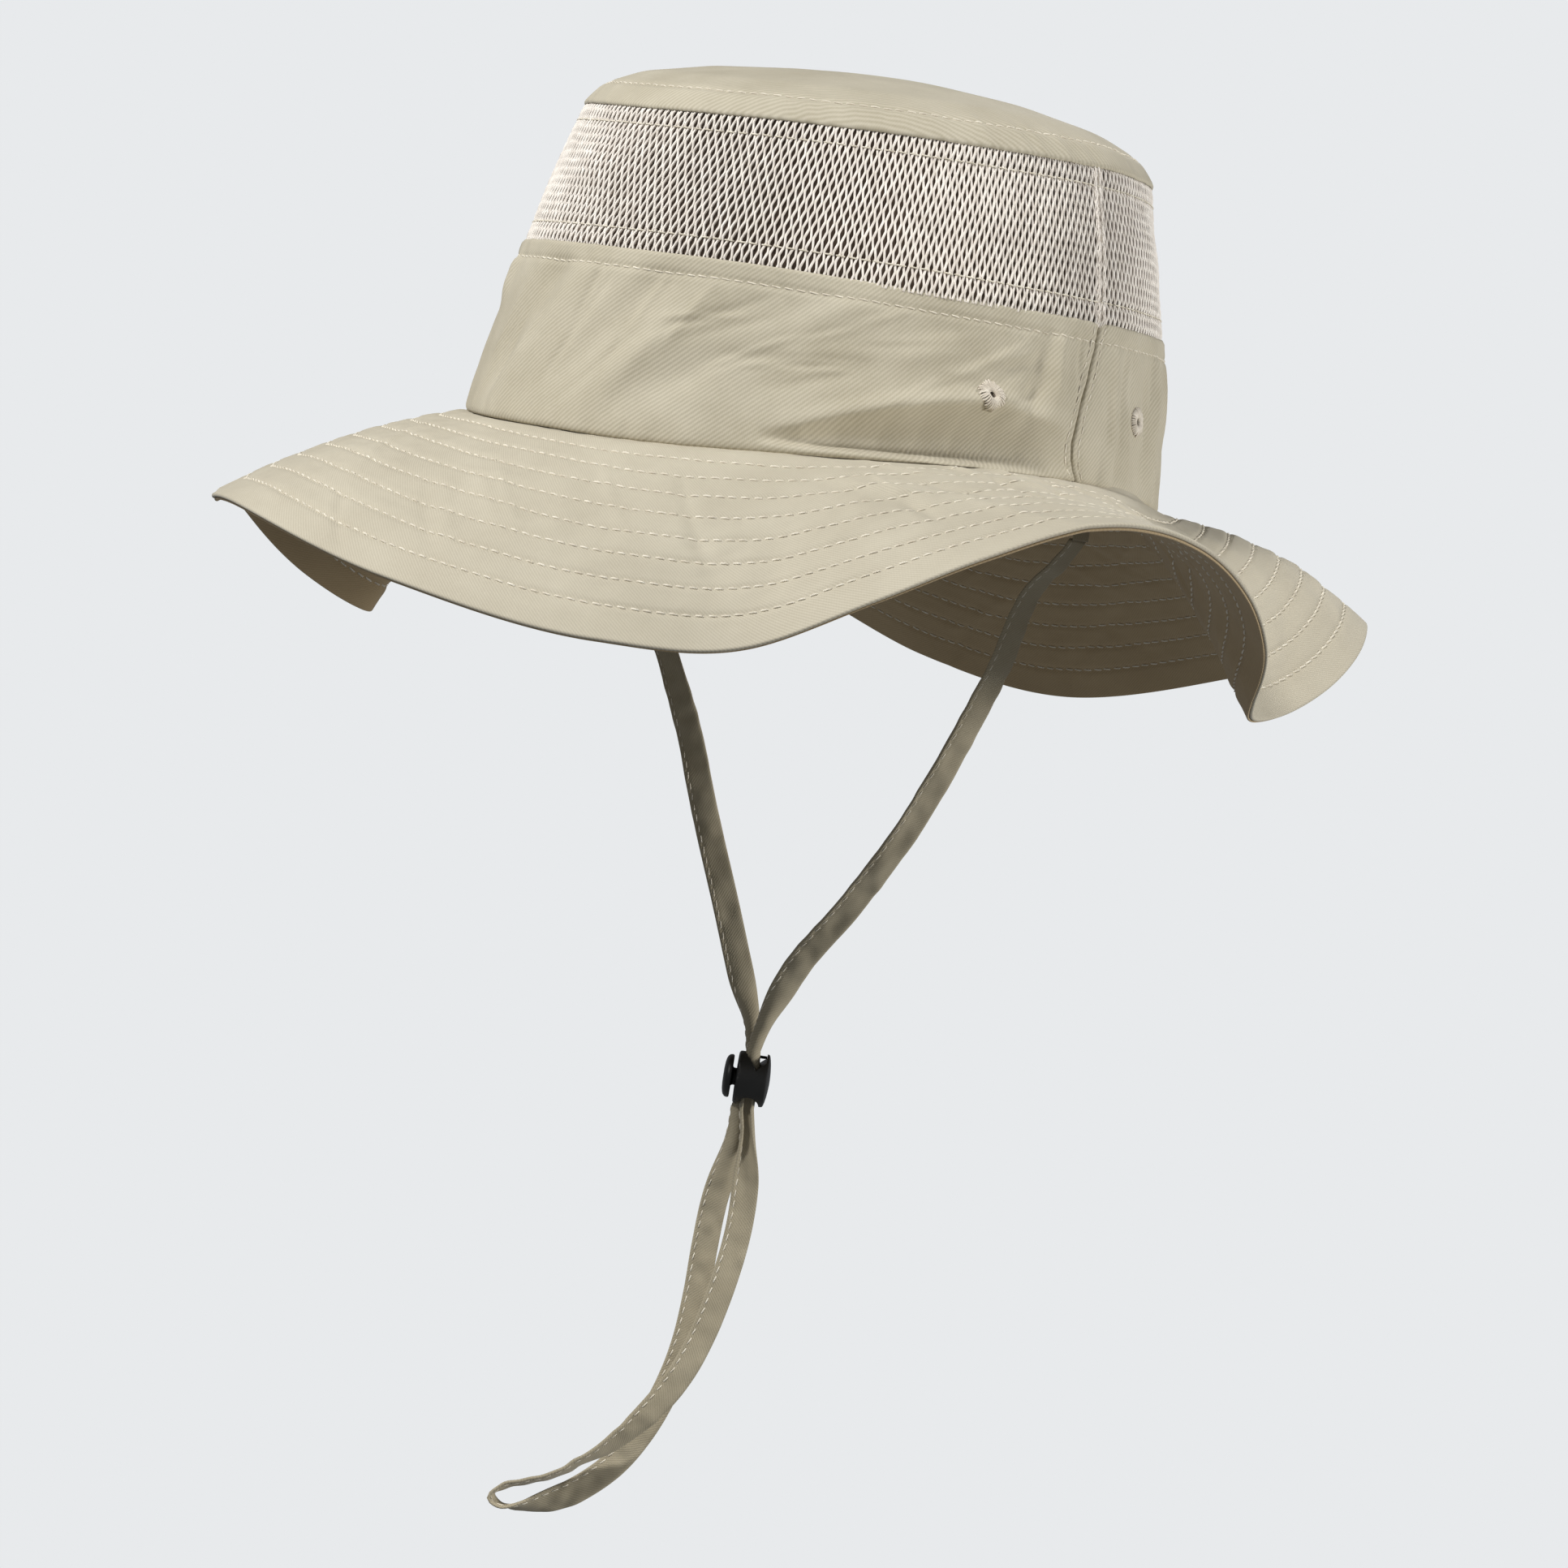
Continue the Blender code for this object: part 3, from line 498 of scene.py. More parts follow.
def crown_points(psi, z, out=0.0):
    """Points on the crown; out is how far they stand proud of its plain shape."""
    psi, z, out = np.broadcast_arrays(*(np.asarray(v, dtype=float) for v in (psi, z, out)))
    share, across, upward = (np.interp(z, OUTLINE[:, 1], OUTLINE[:, c]) for c in (0, 2, 3))
    facing = np.maximum(0.0, np.cos((psi - BULGE_PSI) * RAD))
    full = np.minimum(1.0, share / 0.80)
    radius = head_radius(psi) * share + BULGE * facing**2 * np.clip(z / 60.0, 0, 1) * full + out * across
    sag = periodic(SAG_STATIONS, psi)[..., 0]
    height = z + sag * full * np.clip(z / MESH_HIGH, 0, 1) ** 2 + out * upward
    a = psi * RAD
    return np.stack([radius * np.sin(a), -radius * np.cos(a), height], -1)


def brim_points(psi, share, depth=0.0):
    """Points on the brim: share of its width out from the crown, and depth below its top face."""
    psi, share = np.broadcast_arrays(np.asarray(psi, dtype=float), np.asarray(share, dtype=float))
    station = periodic(BRIM_STATIONS, psi)
    edge, curl, width = station[..., 0], station[..., 1] * RAD, station[..., 2]
    start = np.arcsin((seam_z(psi) - edge) / (width * np.sinc(curl / TAU))) - curl / 2
    bend = curl * share / 2
    run = width * share * np.sinc(bend / math.pi)
    slope = start + curl * share
    radius = head_radius(psi) - 1.0 + BRIM_CAD_THICK * np.sin(np.maximum(start, 0))
    radius = radius + run * np.cos(start + bend) - depth * np.sin(slope)
    height = seam_z(psi) - run * np.sin(start + bend) - depth * np.cos(slope)
    a = psi * RAD
    return np.stack([radius * np.sin(a), -radius * np.cos(a), height], -1)


# the side seam on the wearer's left buckles towards the front above the brim: z, psi
LEFT_SEAM = np.array([
    (-3, 88.0), (0, 87.0), (3, 85.4), (6, 83.9), (9, 83.0), (13, 83.0), (18, 83.9), (24, 85.5),
    (30, 87.1), (37, 88.8), (43.5, 90.0), (82, 90.0),
])
# soft folds of the lower crown: psi, z, half length, direction from level, width, height
FOLDS = [
    (-42, 34, 7, 60, 5.0, -1.9), (-33, 36, 9, 75, 3.0, 1.1), (-52, 24, 14, 80, 4.0, 0.8),
    (-20, 22, 22, 62, 4.5, -0.9), (-12, 24, 24, 60, 5.0, 0.8), (2, 26, 26, 52, 5.0, -0.8),
    (10, 22, 22, 48, 4.0, 0.7), (22, 22, 24, 35, 4.5, -0.8), (30, 30, 18, 28, 3.5, 0.9),
    (38, 22, 20, 24, 3.5, -0.9), (47, 27, 18, 12, 3.0, 0.8), (58, 31, 10, -30, 3.5, -0.5),
    (74, 28, 12, 78, 3.0, -0.8), (79, 32, 10, 84, 2.4, 0.7), (94, 20, 18, 86, 2.6, 1.0),
    (98, 22, 18, 84, 2.0, -0.8), (109, 18, 16, 95, 2.4, -0.8), (114, 24, 20, 88, 2.8, 0.9),
    (121, 20, 18, 92, 2.4, -0.8), (128, 24, 18, 86, 3.0, 0.8), (140, 20, 18, 80, 4.0, -0.8),
    (158, 24, 20, 60, 5.0, 0.8), (176, 20, 22, 110, 5.0, -0.8), (196, 22, 20, 70, 5.0, 0.8),
    (218, 22, 20, 100, 5.0, -0.9), (240, 24, 20, 85, 4.0, 0.8), (262, 20, 16, 95, 3.0, -0.8),
    (282, 24, 18, 80, 3.5, 0.8),
]
# the deep fold under a ridge near the left eyelets: psi, height of the ridge, depth below it
VALLEY = np.array([
    (27, 4, 0), (33, 6.6, 3.6), (39, 10.0, 7.2), (46, 13.4, 9.6), (53, 16.2, 10.6), (60, 18.2, 10.0),
    (66, 18.8, 8.2), (72, 18.2, 5.4), (77, 16.8, 2.8), (83, 15, 0),
])


def make_creases(seed, groups):
    """Random creases: psi, place up or across, half length, direction, width and height."""
    rng = np.random.RandomState(seed)
    creases = []
    for count, psi, place, half, lean, width, rise in groups:
        for _ in range(count):
            creases.append((
                rng.uniform(*psi), rng.uniform(*place), rng.uniform(*half), rng.uniform(*lean),
                rng.uniform(*width), rng.uniform(*rise) * rng.choice([-1, 1]),
            ))
    return creases


WALL_CREASES = make_creases(61, [
    (20, (-60, 20), (8, 32), (6, 15), (48, 78), (1.0, 2.0), (0.20, 0.42)),
    (26, (12, 74), (16, 33), (6, 15), (4, 34), (0.8, 1.6), (0.22, 0.48)),
    (26, (84, 140), (5, 34), (5, 14), (72, 100), (0.8, 1.6), (0.25, 0.55)),
    (34, (140, 300), (6, 34), (6, 15), (50, 115), (1.0, 2.0), (0.22, 0.48)),
])
FOLD_DEPTH = 1.45


def body_wave(psi, z):
    """Slow unevenness shared by the cloth and the mesh of the crown."""
    return 0.45 * around_noise(psi, 22, z / 17.0, 3)


def wall_out(psi, z):
    """How far the cloth of the lower crown stands out from its plain shape."""
    turn = turn_of(psi)
    calm = 1.0 - ease(z, 35.0, 43.0)
    out = body_wave(psi, z) + 0.22 * calm * around_noise(psi, 8, z / 13.0, 4)
    for folds, depth in ((FOLDS, FOLD_DEPTH), (WALL_CREASES, 1.0)):
        for centre, height, half, direction, width, rise in folds:
            dx = turn_of(psi - centre) * RAD * 88.0
            c, s = math.cos(direction * RAD), math.sin(direction * RAD)
            along, across = dx * c + (z - height) * s, (z - height) * c - dx * s
            out = out + depth * calm * rise * bump(across, width) * np.exp(-((along / half) ** 4))
    ridge = np.interp(turn, VALLEY[:, 0], VALLEY[:, 1])
    deep = np.interp(turn, VALLEY[:, 0], VALLEY[:, 2])
    under = np.maximum(ridge - z, 0.0)
    hollow = ease(under / ridge, -0.12, 0.52) * (1.0 - ease(under / ridge, 0.56, 0.90))
    out = out - deep * hollow
    out = out + 0.20 * deep * bump(z - ridge - 1.2, 2.4) + 0.14 * deep * bump(z - 3.4, 2.2)
    # puckers drawn up by the seams at the top and at the bottom
    top = ease(z, 33.0, 40.0)
    out = out + 0.30 * top * around_noise(psi + z * 0.3, 3.2, z / 30.0, 5)
    out = out - 0.42 * bump(z - 38.6, 0.8) + 0.12 * top
    low = 1.0 - ease(z, seam_z(psi) + 1.0, seam_z(psi) + 8.0)
    return out + low * (0.22 * around_noise(psi, 3.4, z / 20.0, 6) - 0.2)


def seam_psi(z, side):
    """Angle of the side seam at this height; side is 1 on the wearer's left."""
    bend = np.interp(z, LEFT_SEAM[:, 0], LEFT_SEAM[:, 1]) - 90.0
    return side * (90.0 + bend * (1.0 if side > 0 else 0.25))


def panel_out(psi, z):
    turn = turn_of(psi)
    left, right = np.abs(turn - seam_psi(z, 1)), np.abs(turn - seam_psi(z, -1))
    distance = np.minimum(left, right) * RAD * 86.0
    out = wall_out(psi, z) - 0.8 * bump(distance, 0.6) - 0.30 * bump(distance - 2.4, 0.7)
    return out + 0.22 * bump(distance, 5.0) * around_noise(psi, 6.0, z / 3.2, 8)


def between_seams(half, columns, z):
    """Angles across the front half (-1) or the back half (1) between the two side seams."""
    t = np.linspace(0.0, 1.0, columns)[:, None]
    if half < 0:
        a, b = seam_psi(z, -1), seam_psi(z, 1)
    else:
        a, b = seam_psi(z, 1), 360.0 + seam_psi(z, -1)
    return (a + 0.1) * (1 - t) + (b - 0.1) * t


def panel_surface(psi, z):
    """Outer face of the lower band, its top edge rolled under and its foot tucked in."""
    rim = 0.35 * np.clip((z - (MESH_LOW - 1.0)) / 0.9, 0, 1) ** 3
    tuck = 0.6 * np.clip((seam_z(psi) + 1.2 - z) / 1.5, 0, 1) ** 2
    return crown_points(psi, z, panel_out(psi, z) + 0.35 - rim - tuck)


def facing_out(surface, psi, z, step=0.2):
    """Points on a surface of the crown, with its outward normals."""
    points = surface(psi, z)
    return points, unit(np.cross(surface(psi + 0.2, z) - points, surface(psi, z + step) - points))


def side_panel(name, node, half):
    level = np.linspace(0.0, 1.0, 70)[None, :]
    rough = between_seams(half, 460, level * MESH_LOW)
    low = seam_z(rough[:, :1]) - 0.3
    z = low + (MESH_LOW - 0.1 - low) * level
    psi = between_seams(half, 460, z)
    inner = crown_points(psi, z, panel_out(psi, z) - 0.35)
    mesh = layer(name, panel_surface(psi, z), inner, False, cloth_uv(psi, z))
    obj = make_piece(name, mesh, "hat", CLOTH)
    for centre in EYELETS.values():
        if (abs(centre) < 90.0) == (half < 0):
            pierce(obj, centre)
    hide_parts(node)


def pierce(obj, psi):
    """Cut an eyelet's small hole through the cloth."""
    outline = [(-10.0, 0.0), (-10.0, 1.0), (10.0, 1.0), (10.0, 0.0)]
    punch = add_object("punch", lathe("punch", outline, 28))
    turn = Matrix.Rotation((psi - 90.0) * RAD, 4, "Z")
    centre = Vector(crown_points(psi, EYELET_Z).tolist()) * MM
    punch.data.transform(Matrix.Translation(centre) @ turn)
    cut_with(obj, punch)


def baked(obj):
    """Give an object its mesh with the modifiers applied."""
    bpy.context.view_layer.update()
    graph = bpy.context.evaluated_depsgraph_get()
    mesh = bpy.data.meshes.new_from_object(obj.evaluated_get(graph))
    obj.modifiers.clear()
    obj.data = mesh


def cut_with(obj, cutter, operation="DIFFERENCE"):
    modifier = obj.modifiers.new("cut", "BOOLEAN")
    modifier.operation, modifier.solver, modifier.object = operation, "EXACT", cutter
    baked(obj)
    bpy.data.objects.remove(cutter)


def band_stitches():
    """Topstitching along the top of the lower band and down both sides of the side seams."""
    rows = []
    for half in (-1, 1):
        psi = between_seams(half, 600, np.array([[38.6]]))[:, 0]
        rows.append(stitches(*facing_out(panel_surface, psi, np.full(600, 38.6)), seed=11 + half))
    for side in (1, -1):
        for k, offset in enumerate((-2.4, 2.4)):
            z = np.linspace(1.5, MESH_LOW - 0.8, 160)
            psi = seam_psi(z, side) + offset / (86.0 * RAD) * (1.0 + 0.10 * np.sin(z / 2.2))
            rows.append(stitches(*facing_out(panel_surface, psi, z), seed=20 + side + 3 * k))
    stitch_piece("band_topstitch", rows)


# ---- crown top
TOP_SEAM = 87.2


def top_out(psi, z):
    pucker = (1.0 - ease(z, 86.5, 93.0)) * around_noise(psi + z * 0.4, 3.6, z / 14.0, 31)
    out = body_wave(psi, z) * (1 - ease(z, 84, 96)) + 0.16 * pucker
    out = out + 0.45 * (1 - ease(z, 88, 96)) + 0.12 * (1 - ease(z, 86.0, 87.0))
    return out - 0.28 * bump(z - TOP_SEAM, 0.55)


def top_surface(psi, z):
    rim = 0.4 * np.clip((MESH_HIGH + 0.3 - z) / 0.9, 0, 1) ** 3
    return crown_points(psi, z, top_out(psi, z) - rim)


def crown_top():
    first = np.interp(MESH_HIGH - 0.6, OUTLINE[:, 1], ARC)
    steps = np.concatenate([np.arange(first, first + 16, 0.4), np.linspace(first + 16, ARC[-1], 62)])
    psi = around(720)
    z = np.interp(steps, ARC, OUTLINE[:, 1])[None, :] + 0 * psi
    outer = top_surface(psi, z)
    inner = crown_points(psi, z, top_out(psi, z) - 0.7)
    uv = np.stack([-outer[..., 0], outer[..., 1]], -1)
    mesh = layer("crown_top_cloth", outer, inner, True, uv)
    obj = make_piece("crown_top_cloth", mesh, "hat", CLOTH)
    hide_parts("crown_top")
    psi = np.linspace(0, 360, 2400)
    line, normal = facing_out(top_surface, psi, np.full(2400, TOP_SEAM), 0.1)
    stitch_piece("crown_top_topstitch", [stitches(line, normal, seed=41)])


# ---- knitted mesh: the yarns' zigzag, how far it swings, their thickness and their number
YARN_PERIOD, YARN_SPREAD, YARN_RADIUS, YARNS = 4.8, 0.25, 0.33, 242


def mesh_out(psi, z):
    calm = bump(z - 62.0, 15.0)
    out = body_wave(psi, z) - 0.30 + calm * 0.75 * around_noise(psi + z * 0.25, 16, z / 13.0, 51)
    out = out - 0.30 * (1 - ease(z, MESH_LOW - 0.5, MESH_LOW + 1.5))
    out = out - 0.30 * ease(z, MESH_HIGH - 1.5, MESH_HIGH + 0.5)
    return out - 0.22 * bump(z - MESH_LOW - 5.0, 0.7) - 0.22 * bump(z - MESH_HIGH + 5.0, 0.7)


def mesh_panel(name, node, half):
    z = np.linspace(MESH_LOW - 1.2, MESH_HIGH + 1.2, 113)[None, :]
    t = (np.arange(YARNS) + 0.5)[:, None] / YARNS
    psi = (-90.0 if half < 0 else 90.0) + 180.0 * t
    psi = psi + 1.3 * np.sin(math.pi * t) ** 0.5 * (z - 62.0) / 19.0 + 0.2 * noise(t * 40, z / 14.0, 52)
    sign = np.where(np.arange(YARNS) % 2 == 0, 1.0, -1.0)[:, None]
    phase = TAU * z / YARN_PERIOD + 0.25 * noise(t * 60, z / 9.0, 53)
    psi = psi + sign * YARN_SPREAD / (88.0 * RAD) * (np.sin(phase) - np.sin(3 * phase) / 9.0)
    centre = crown_points(psi, z, mesh_out(psi, z) + 0.10 * np.cos(phase) * sign)
    mesh = tube_mesh(name, tubes_along(centre, outward(psi), YARN_RADIUS))
    obj = make_piece(name, mesh, "hat", NET)
    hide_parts(node)


def mesh_backing_and_shade():
    """A fine backing net behind the open knit; its dark brown colour is painted shade of the crown's
    inside, seen through the knit's holes.
    """
    psi = around(720)
    z = np.linspace(MESH_LOW - 1.0, MESH_HIGH + 1.0, 60)[None, :] + 0 * psi
    faces = (crown_points(psi, z, mesh_out(psi, z) - depth) for depth in (0.62, 0.80))
    mesh = layer("mesh_backing_net_and_shade", *faces, True, cloth_uv(psi, z))
    obj = make_piece("mesh_backing_net_and_shade", mesh, "hat", BACKING_AND_SHADE)


def net_seams():
    """Thin seam stitching through the mesh near its edges, and the gathered side seams."""
    rows = []
    psi = np.linspace(0, 360, 2400)
    for z0, seed in ((MESH_LOW + 5.0, 55), (MESH_HIGH - 5.0, 56)):
        z = np.full(2400, z0)
        line = crown_points(psi, z, mesh_out(psi, z) + 0.38)
        rows.append(stitches(line, outward(psi), radius=0.20, slant=0.05, seed=seed))
    stitch_piece("net_topstitch", rows)
    z = np.linspace(MESH_LOW - 1.0, MESH_HIGH + 1.0, 150)[None, :]
    offsets = np.array([-1.5, -1.1, -0.7, -0.35, 0.35, 0.7, 1.1, 1.5])[:, None]
    tubes = []
    for centre in (90.0, 270.0):
        psi = centre + offsets / (80.0 * RAD) + 0.10 * np.sin(z * 2.1 + offsets * 3)
        rise = 0.10 + 0.45 * bump(np.abs(offsets) - 0.9, 0.5) - 0.9 * bump(offsets, 0.45)
        rise = rise + 0.12 * np.sin(z * 2.6 + offsets * 7)
        tubes.append(tubes_along(crown_points(psi, z, mesh_out(psi, z) + rise), outward(psi), 0.26))
    make_piece("net_side_seams", tube_mesh("net_side_seams", np.concatenate(tubes)), "hat", NET)


# ---- brim
CREASES = make_creases(71, [
    (40, (0, 360), (0.12, 0.88), (9, 24), (25, 75), (1.4, 2.8), (0.25, 0.60)),
    (16, (90, 360), (0.12, 0.88), (9, 24), (-70, -30), (1.4, 2.8), (0.25, 0.60)),
    (24, (44, 96), (0.06, 0.60), (7, 16), (35, 80), (1.0, 2.0), (0.35, 0.80)),
])


def brim_swell(psi, share):
    """Slow waves and creases of the brim, up from its plain shape; both plies share them."""
    s = share * BRIM_RUN
    lift = 0.35 * around_noise(psi, 30, s / 22.0, 72) + 0.16 * around_noise(psi, 11, s / 9.0, 73)
    for centre, at, half, direction, width, rise in CREASES:
        dx = turn_of(psi - centre) * RAD * (92.0 + at * 60.0)
        dy = s - at * BRIM_RUN
        c, d = math.cos(direction * RAD), math.sin(direction * RAD)
        along, across = dx * c + dy * d, dy * c - dx * d
        lift = lift + rise * bump(across, width) * np.exp(-((along / half) ** 4))
    return lift * ease(share, -0.02, 0.10) * (1.0 - 0.6 * ease(share, 0.93, 1.0))


def row_drift(psi, k):
    return 0.006 * around_noise(psi, 24, 0.5 + 3.0 * k, 74)


def quilt(psi, share, seed):
    """Dips along the stitched rows, with small puckers across them."""
    dip = 0.0
    for k, row in enumerate(BRIM_ROWS):
        off = (share - row - row_drift(psi, k)) * BRIM_RUN
        dip = dip - (0.46 + 0.14 * around_noise(psi, 5, 0.5 + k, seed)) * bump(off, 0.85)
        dip = dip + 0.24 * bump(np.abs(off) - 2.4, 1.8) * around_noise(psi, 4.2, 0.5 + 1.7 * k, seed + 1)
    return dip


def brim_top(psi, share):
    tuck = 0.8 * (1 - ease(share, -0.01, 0.035))
    return brim_points(psi, share, tuck - brim_swell(psi, share) - quilt(psi, share, 75))


def brim_bottom(psi, share):
    return brim_points(psi, share, BRIM_END - brim_swell(psi, share) + quilt(psi, share, 78))


def brim_ply(name, node, material, face, edge, lip, depth_back):
    """One ply: its quilted face, a rounded lip (radius, centre, way down) and its hidden face."""
    psi = around(1500)
    share = np.linspace(*edge, 150)[None, :] + 0 * psi
    back = share[:, ::-6]
    arc = np.linspace(0, math.pi, 10)[None, 1:-1] + 0 * psi
    lip_share = edge[1] + lip[0] * np.sin(arc) / BRIM_RUN
    lip_depth = lip[1] - lip[2] * lip[0] * np.cos(arc) - brim_swell(psi, lip_share)
    hidden = brim_points(psi, back, np.interp(back, *depth_back) - brim_swell(psi, back))
    section = np.concatenate([face(psi, share), brim_points(psi, lip_share, lip_depth), hidden], axis=1)
    rows = np.concatenate([share, lip_share, back], axis=1)
    mesh = loft(name, section, True, cloth_uv(psi, rows * BRIM_RUN, BRIM_MIDDLE))
    obj = make_piece(name, mesh, "hat", material)
    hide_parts(node)


def brim():
    brim_ply(
        "brim_upper_cloth", "brim_upper", BRIM_CLOTH, brim_top, (BRIM_ROOT, 0.9925), (0.60, 0.60, 1.0),
        ([0.975, 0.985], [0.95, 1.20]),
    )
    # the lower ply wears the darker twill whose colour is painted shade
    brim_ply(
        "brim_lower_cloth", "brim_lower", SHADED_UNDER_CLOTH, brim_bottom, (0.0, 0.9935), (0.34, 1.61, -1.0),
        ([0.97, 0.98], [1.16, 1.27]),
    )
    psi = around(500)
    share = np.linspace(0.0, 0.95, 60)[None, :] + 0 * psi
    swell = brim_swell(psi, share)
    faces = (brim_points(psi, share, depth - swell) for depth in (0.98, 1.13))
    name = "brim_stiffener_sheet"
    mesh = layer(name, *faces, True, cloth_uv(psi, share * BRIM_RUN, BRIM_MIDDLE))
    middle = make_piece(name, mesh, "hat", LINING)
    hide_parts("brim_stiffener")

    turn = np.linspace(0, 360, 3600)
    for name, face, sign in (("brim_quilting_top", brim_top, 1), ("brim_quilting_under", brim_bottom, -1)):
        lines = []
        for k, row in enumerate(BRIM_ROWS):
            at = row + row_drift(turn, k)
            points = face(turn, at)
            n = unit(np.cross(face(turn + 0.15, at) - points, face(turn, at + 0.004) - points))
            n = n * np.where(n[:, 2:] * sign < 0, -1.0, 1.0)
            lines.append(stitches(points, n, slant=0.16, radius=0.25, seed=80 + k))
        stitch_piece(name, lines)


# ---- inside the crown
def strip_out(psi, z):
    """Where a strip sewn inside the wall lies, pushed in where the wall folds in."""
    wall = np.where(z < MESH_LOW, panel_out(psi, np.minimum(z, MESH_LOW)) - 0.5, -1.35)
    return np.minimum(-1.35, wall) + 0.12 * around_noise(psi, 7, z / 6.0, 91) - 0.12


def inner_strip(name, node, low, high, centre=None, half=None):
    """A cloth strip sewn against the inside of the wall, all round or about one angle."""
    wrap = centre is None
    psi = around(540) if wrap else centre + np.linspace(-half, half, 16)[:, None]
    z = np.linspace(low, high, 26)[None, :] + 0 * psi
    edge = 0.25 * (1 - np.minimum(1, np.minimum(z - low, high - z) / 0.8) ** 0.5)
    base = strip_out(psi, z)
    faces = crown_points(psi, z, base - edge), crown_points(psi, z, base - 0.7 + edge)
    obj = make_piece(name, layer(name, *faces, wrap, cloth_uv(psi, z)), "hat", LINING)
    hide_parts(node)


def linings():
    inner_strip("sweatband_cloth", "sweatband", -6.0, 15.8)
    # these two tapes are narrower than 10 mm
    inner_strip("mesh_seam_tape_cloth", "mesh_seam_tape", 39.5, 47.5)
    inner_strip("crown_seam_tape_cloth", "crown_seam_tape", 76.0, 81.5)
    inner_strip("side_seam_tape_left_cloth", "side_seam_tape_left", 16.1, 39.2, 90.0, 4.0)
    inner_strip("side_seam_tape_right_cloth", "side_seam_tape_right", 16.1, 39.2, 270.0, 4.0)
    psi = np.linspace(0, 360, 1800)
    rows = []
    for z0, seed in ((-4.0, 94), (14.0, 95), (41.0, 96), (46.0, 97), (77.2, 98), (80.3, 99)):
        z = np.full(1800, z0)
        rows.append(stitches(crown_points(psi, z, strip_out(psi, z) - 0.7), -outward(psi), seed=seed))
    stitch_piece("lining_stitches", rows)


# ---- eyelets
def eyelet(key, psi0):
    """Small embroidered eyelet: radial thread loops over a raised ring, with an open middle; the ring is
    coloured dark brown as painted shade between the loops and in the hole.
    """
    rng = np.random.RandomState(int(psi0) + 200)

    def at(r, angle, lift):
        psi, z = psi0 + r * np.cos(angle) / (88.0 * RAD), EYELET_Z + r * np.sin(angle)
        points, n = facing_out(panel_surface, psi, z)
        return points + n * lift[..., None], n

    angle = (np.arange(36) * TAU / 36 + rng.uniform(-0.03, 0.03, 36))[:, None]
    reach = (3.75 + rng.uniform(-0.3, 0.3, 36))[:, None]
    t = np.linspace(0, 1, 7)[None, :] + 0 * angle
    lift = 0.72 * np.sin(math.pi * np.clip(t * 0.85 + 0.12, 0, 1)) - 0.5 * (t > 0.99) - 0.35 * (t < 0.01)
    centre, n = at(0.85 + (reach - 0.85) * t, angle + 0.04 * t, lift)
    tubes = tubes_along(centre, n, (0.16 + 0.14 * t)[..., None, None])
    name = f"eyelet_{key}_thread"
    obj = make_piece(name, tube_mesh(name, tubes), "hat", EYELET_THREAD)
    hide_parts(f"eyelet_{key}")
    # the ring under the loops, dark with painted shade, dips down into the hole
    turn = (np.arange(48) * TAU / 48)[:, None]
    out = np.array([0.80, 0.95, 1.6, 2.6, 3.4, 3.70, 3.4, 2.0, 0.98, 0.82])[None, :] + 0 * turn
    rise = np.array([-0.6, 0.05, 0.30, 0.26, 0.06, -0.2, -0.4, -0.5, -1.9, -1.7])[None, :] + 0 * turn
    points, _ = at(out, turn + 0 * out, rise)
    name = f"eyelet_{key}_ring"
    make_piece(name, quad_mesh(name, points, loft_faces(48, 10, True)), "hat", EYELET_SHADE)


# ---- chin strap
def strap(name, node, route, across, fold, seed):
    """Flat sewn strap through the route, folded lengthwise where it enters the lock."""
    run = unit(np.gradient(route, axis=0))
    across = unit(across - run * np.einsum("ij,ij->i", across, run)[:, None])
    thin = np.cross(run, across)
    s = run_of(route)
    calm = np.minimum(1, np.minimum(s, s[-1] - s) / 8.0)
    route = route + thin * (0.30 * noise(s / 9.0, 0.5, seed) * calm)[:, None]
    arc = (fold + 0.05)[:, None]
    radius = STRAP_WIDTH / arc
    middle = radius * (1 - np.cos(arc / 2)) * 0.45
    curl = (0.55 * noise(s / 14.0, 7.5, seed) * (1 - fold / FOLDED))[:, None]

    def surface(q, sign):
        q = np.asarray(q, dtype=float)[None, :]
        turn = q * arc / 2
        y = middle - radius * (1 - np.cos(turn)) + curl * (q**2 - 0.33)
        y = y + 0.30 * noise(s[:, None] / 3.2, q * 1.2 + 9.0, seed + 1)
        half = STRAP_THICK / 2 * np.sqrt(np.clip(1 - np.abs(q) ** 9, 0.03, 1))
        half = half - 0.16 * bump(q + 0.70, 0.07) + 0.10 * bump(q + 0.86, 0.12)
        x, y = radius * np.sin(turn) + sign * half * np.sin(turn), y + sign * half * np.cos(turn)
        normal = across[:, None] * np.sin(turn)[..., None] + thin[:, None] * np.cos(turn)[..., None]
        return route[:, None] + across[:, None] * x[..., None] + thin[:, None] * y[..., None], sign * normal

    q = np.sin(np.linspace(-1, 1, 23) * math.pi / 2)
    uv = np.stack([q[None, :] * 3.5 + 0 * s[:, None], s[:, None] + 0 * q], -1)
    mesh = layer(name, surface(q, 1.0)[0], surface(q, -1.0)[0], False, uv)
    obj = add_object(name, mesh, STRAP_CLOTH)
    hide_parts(node)
    rows = []
    for sign in (1.0, -1.0):
        points, normal = surface([-0.70], sign)
        rows.append(stitches(points[:, 0], normal[:, 0], 2.9, 2.2, 0.17, 0.15, seed + 4 + int(sign)))
    mesh = tube_mesh(f"{name}_stitches", np.concatenate(rows))
    sewn = add_object(f"{name}_stitches", mesh, THREAD)
    for piece in (obj, sewn):
        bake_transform(piece)
    return s[-1]


def fold_near(s, where):
    """Lengthwise fold angle that closes towards the given place along the strap."""
    return FOLDED * (1 - ease(np.abs(s - where), 9.0, 30.0))


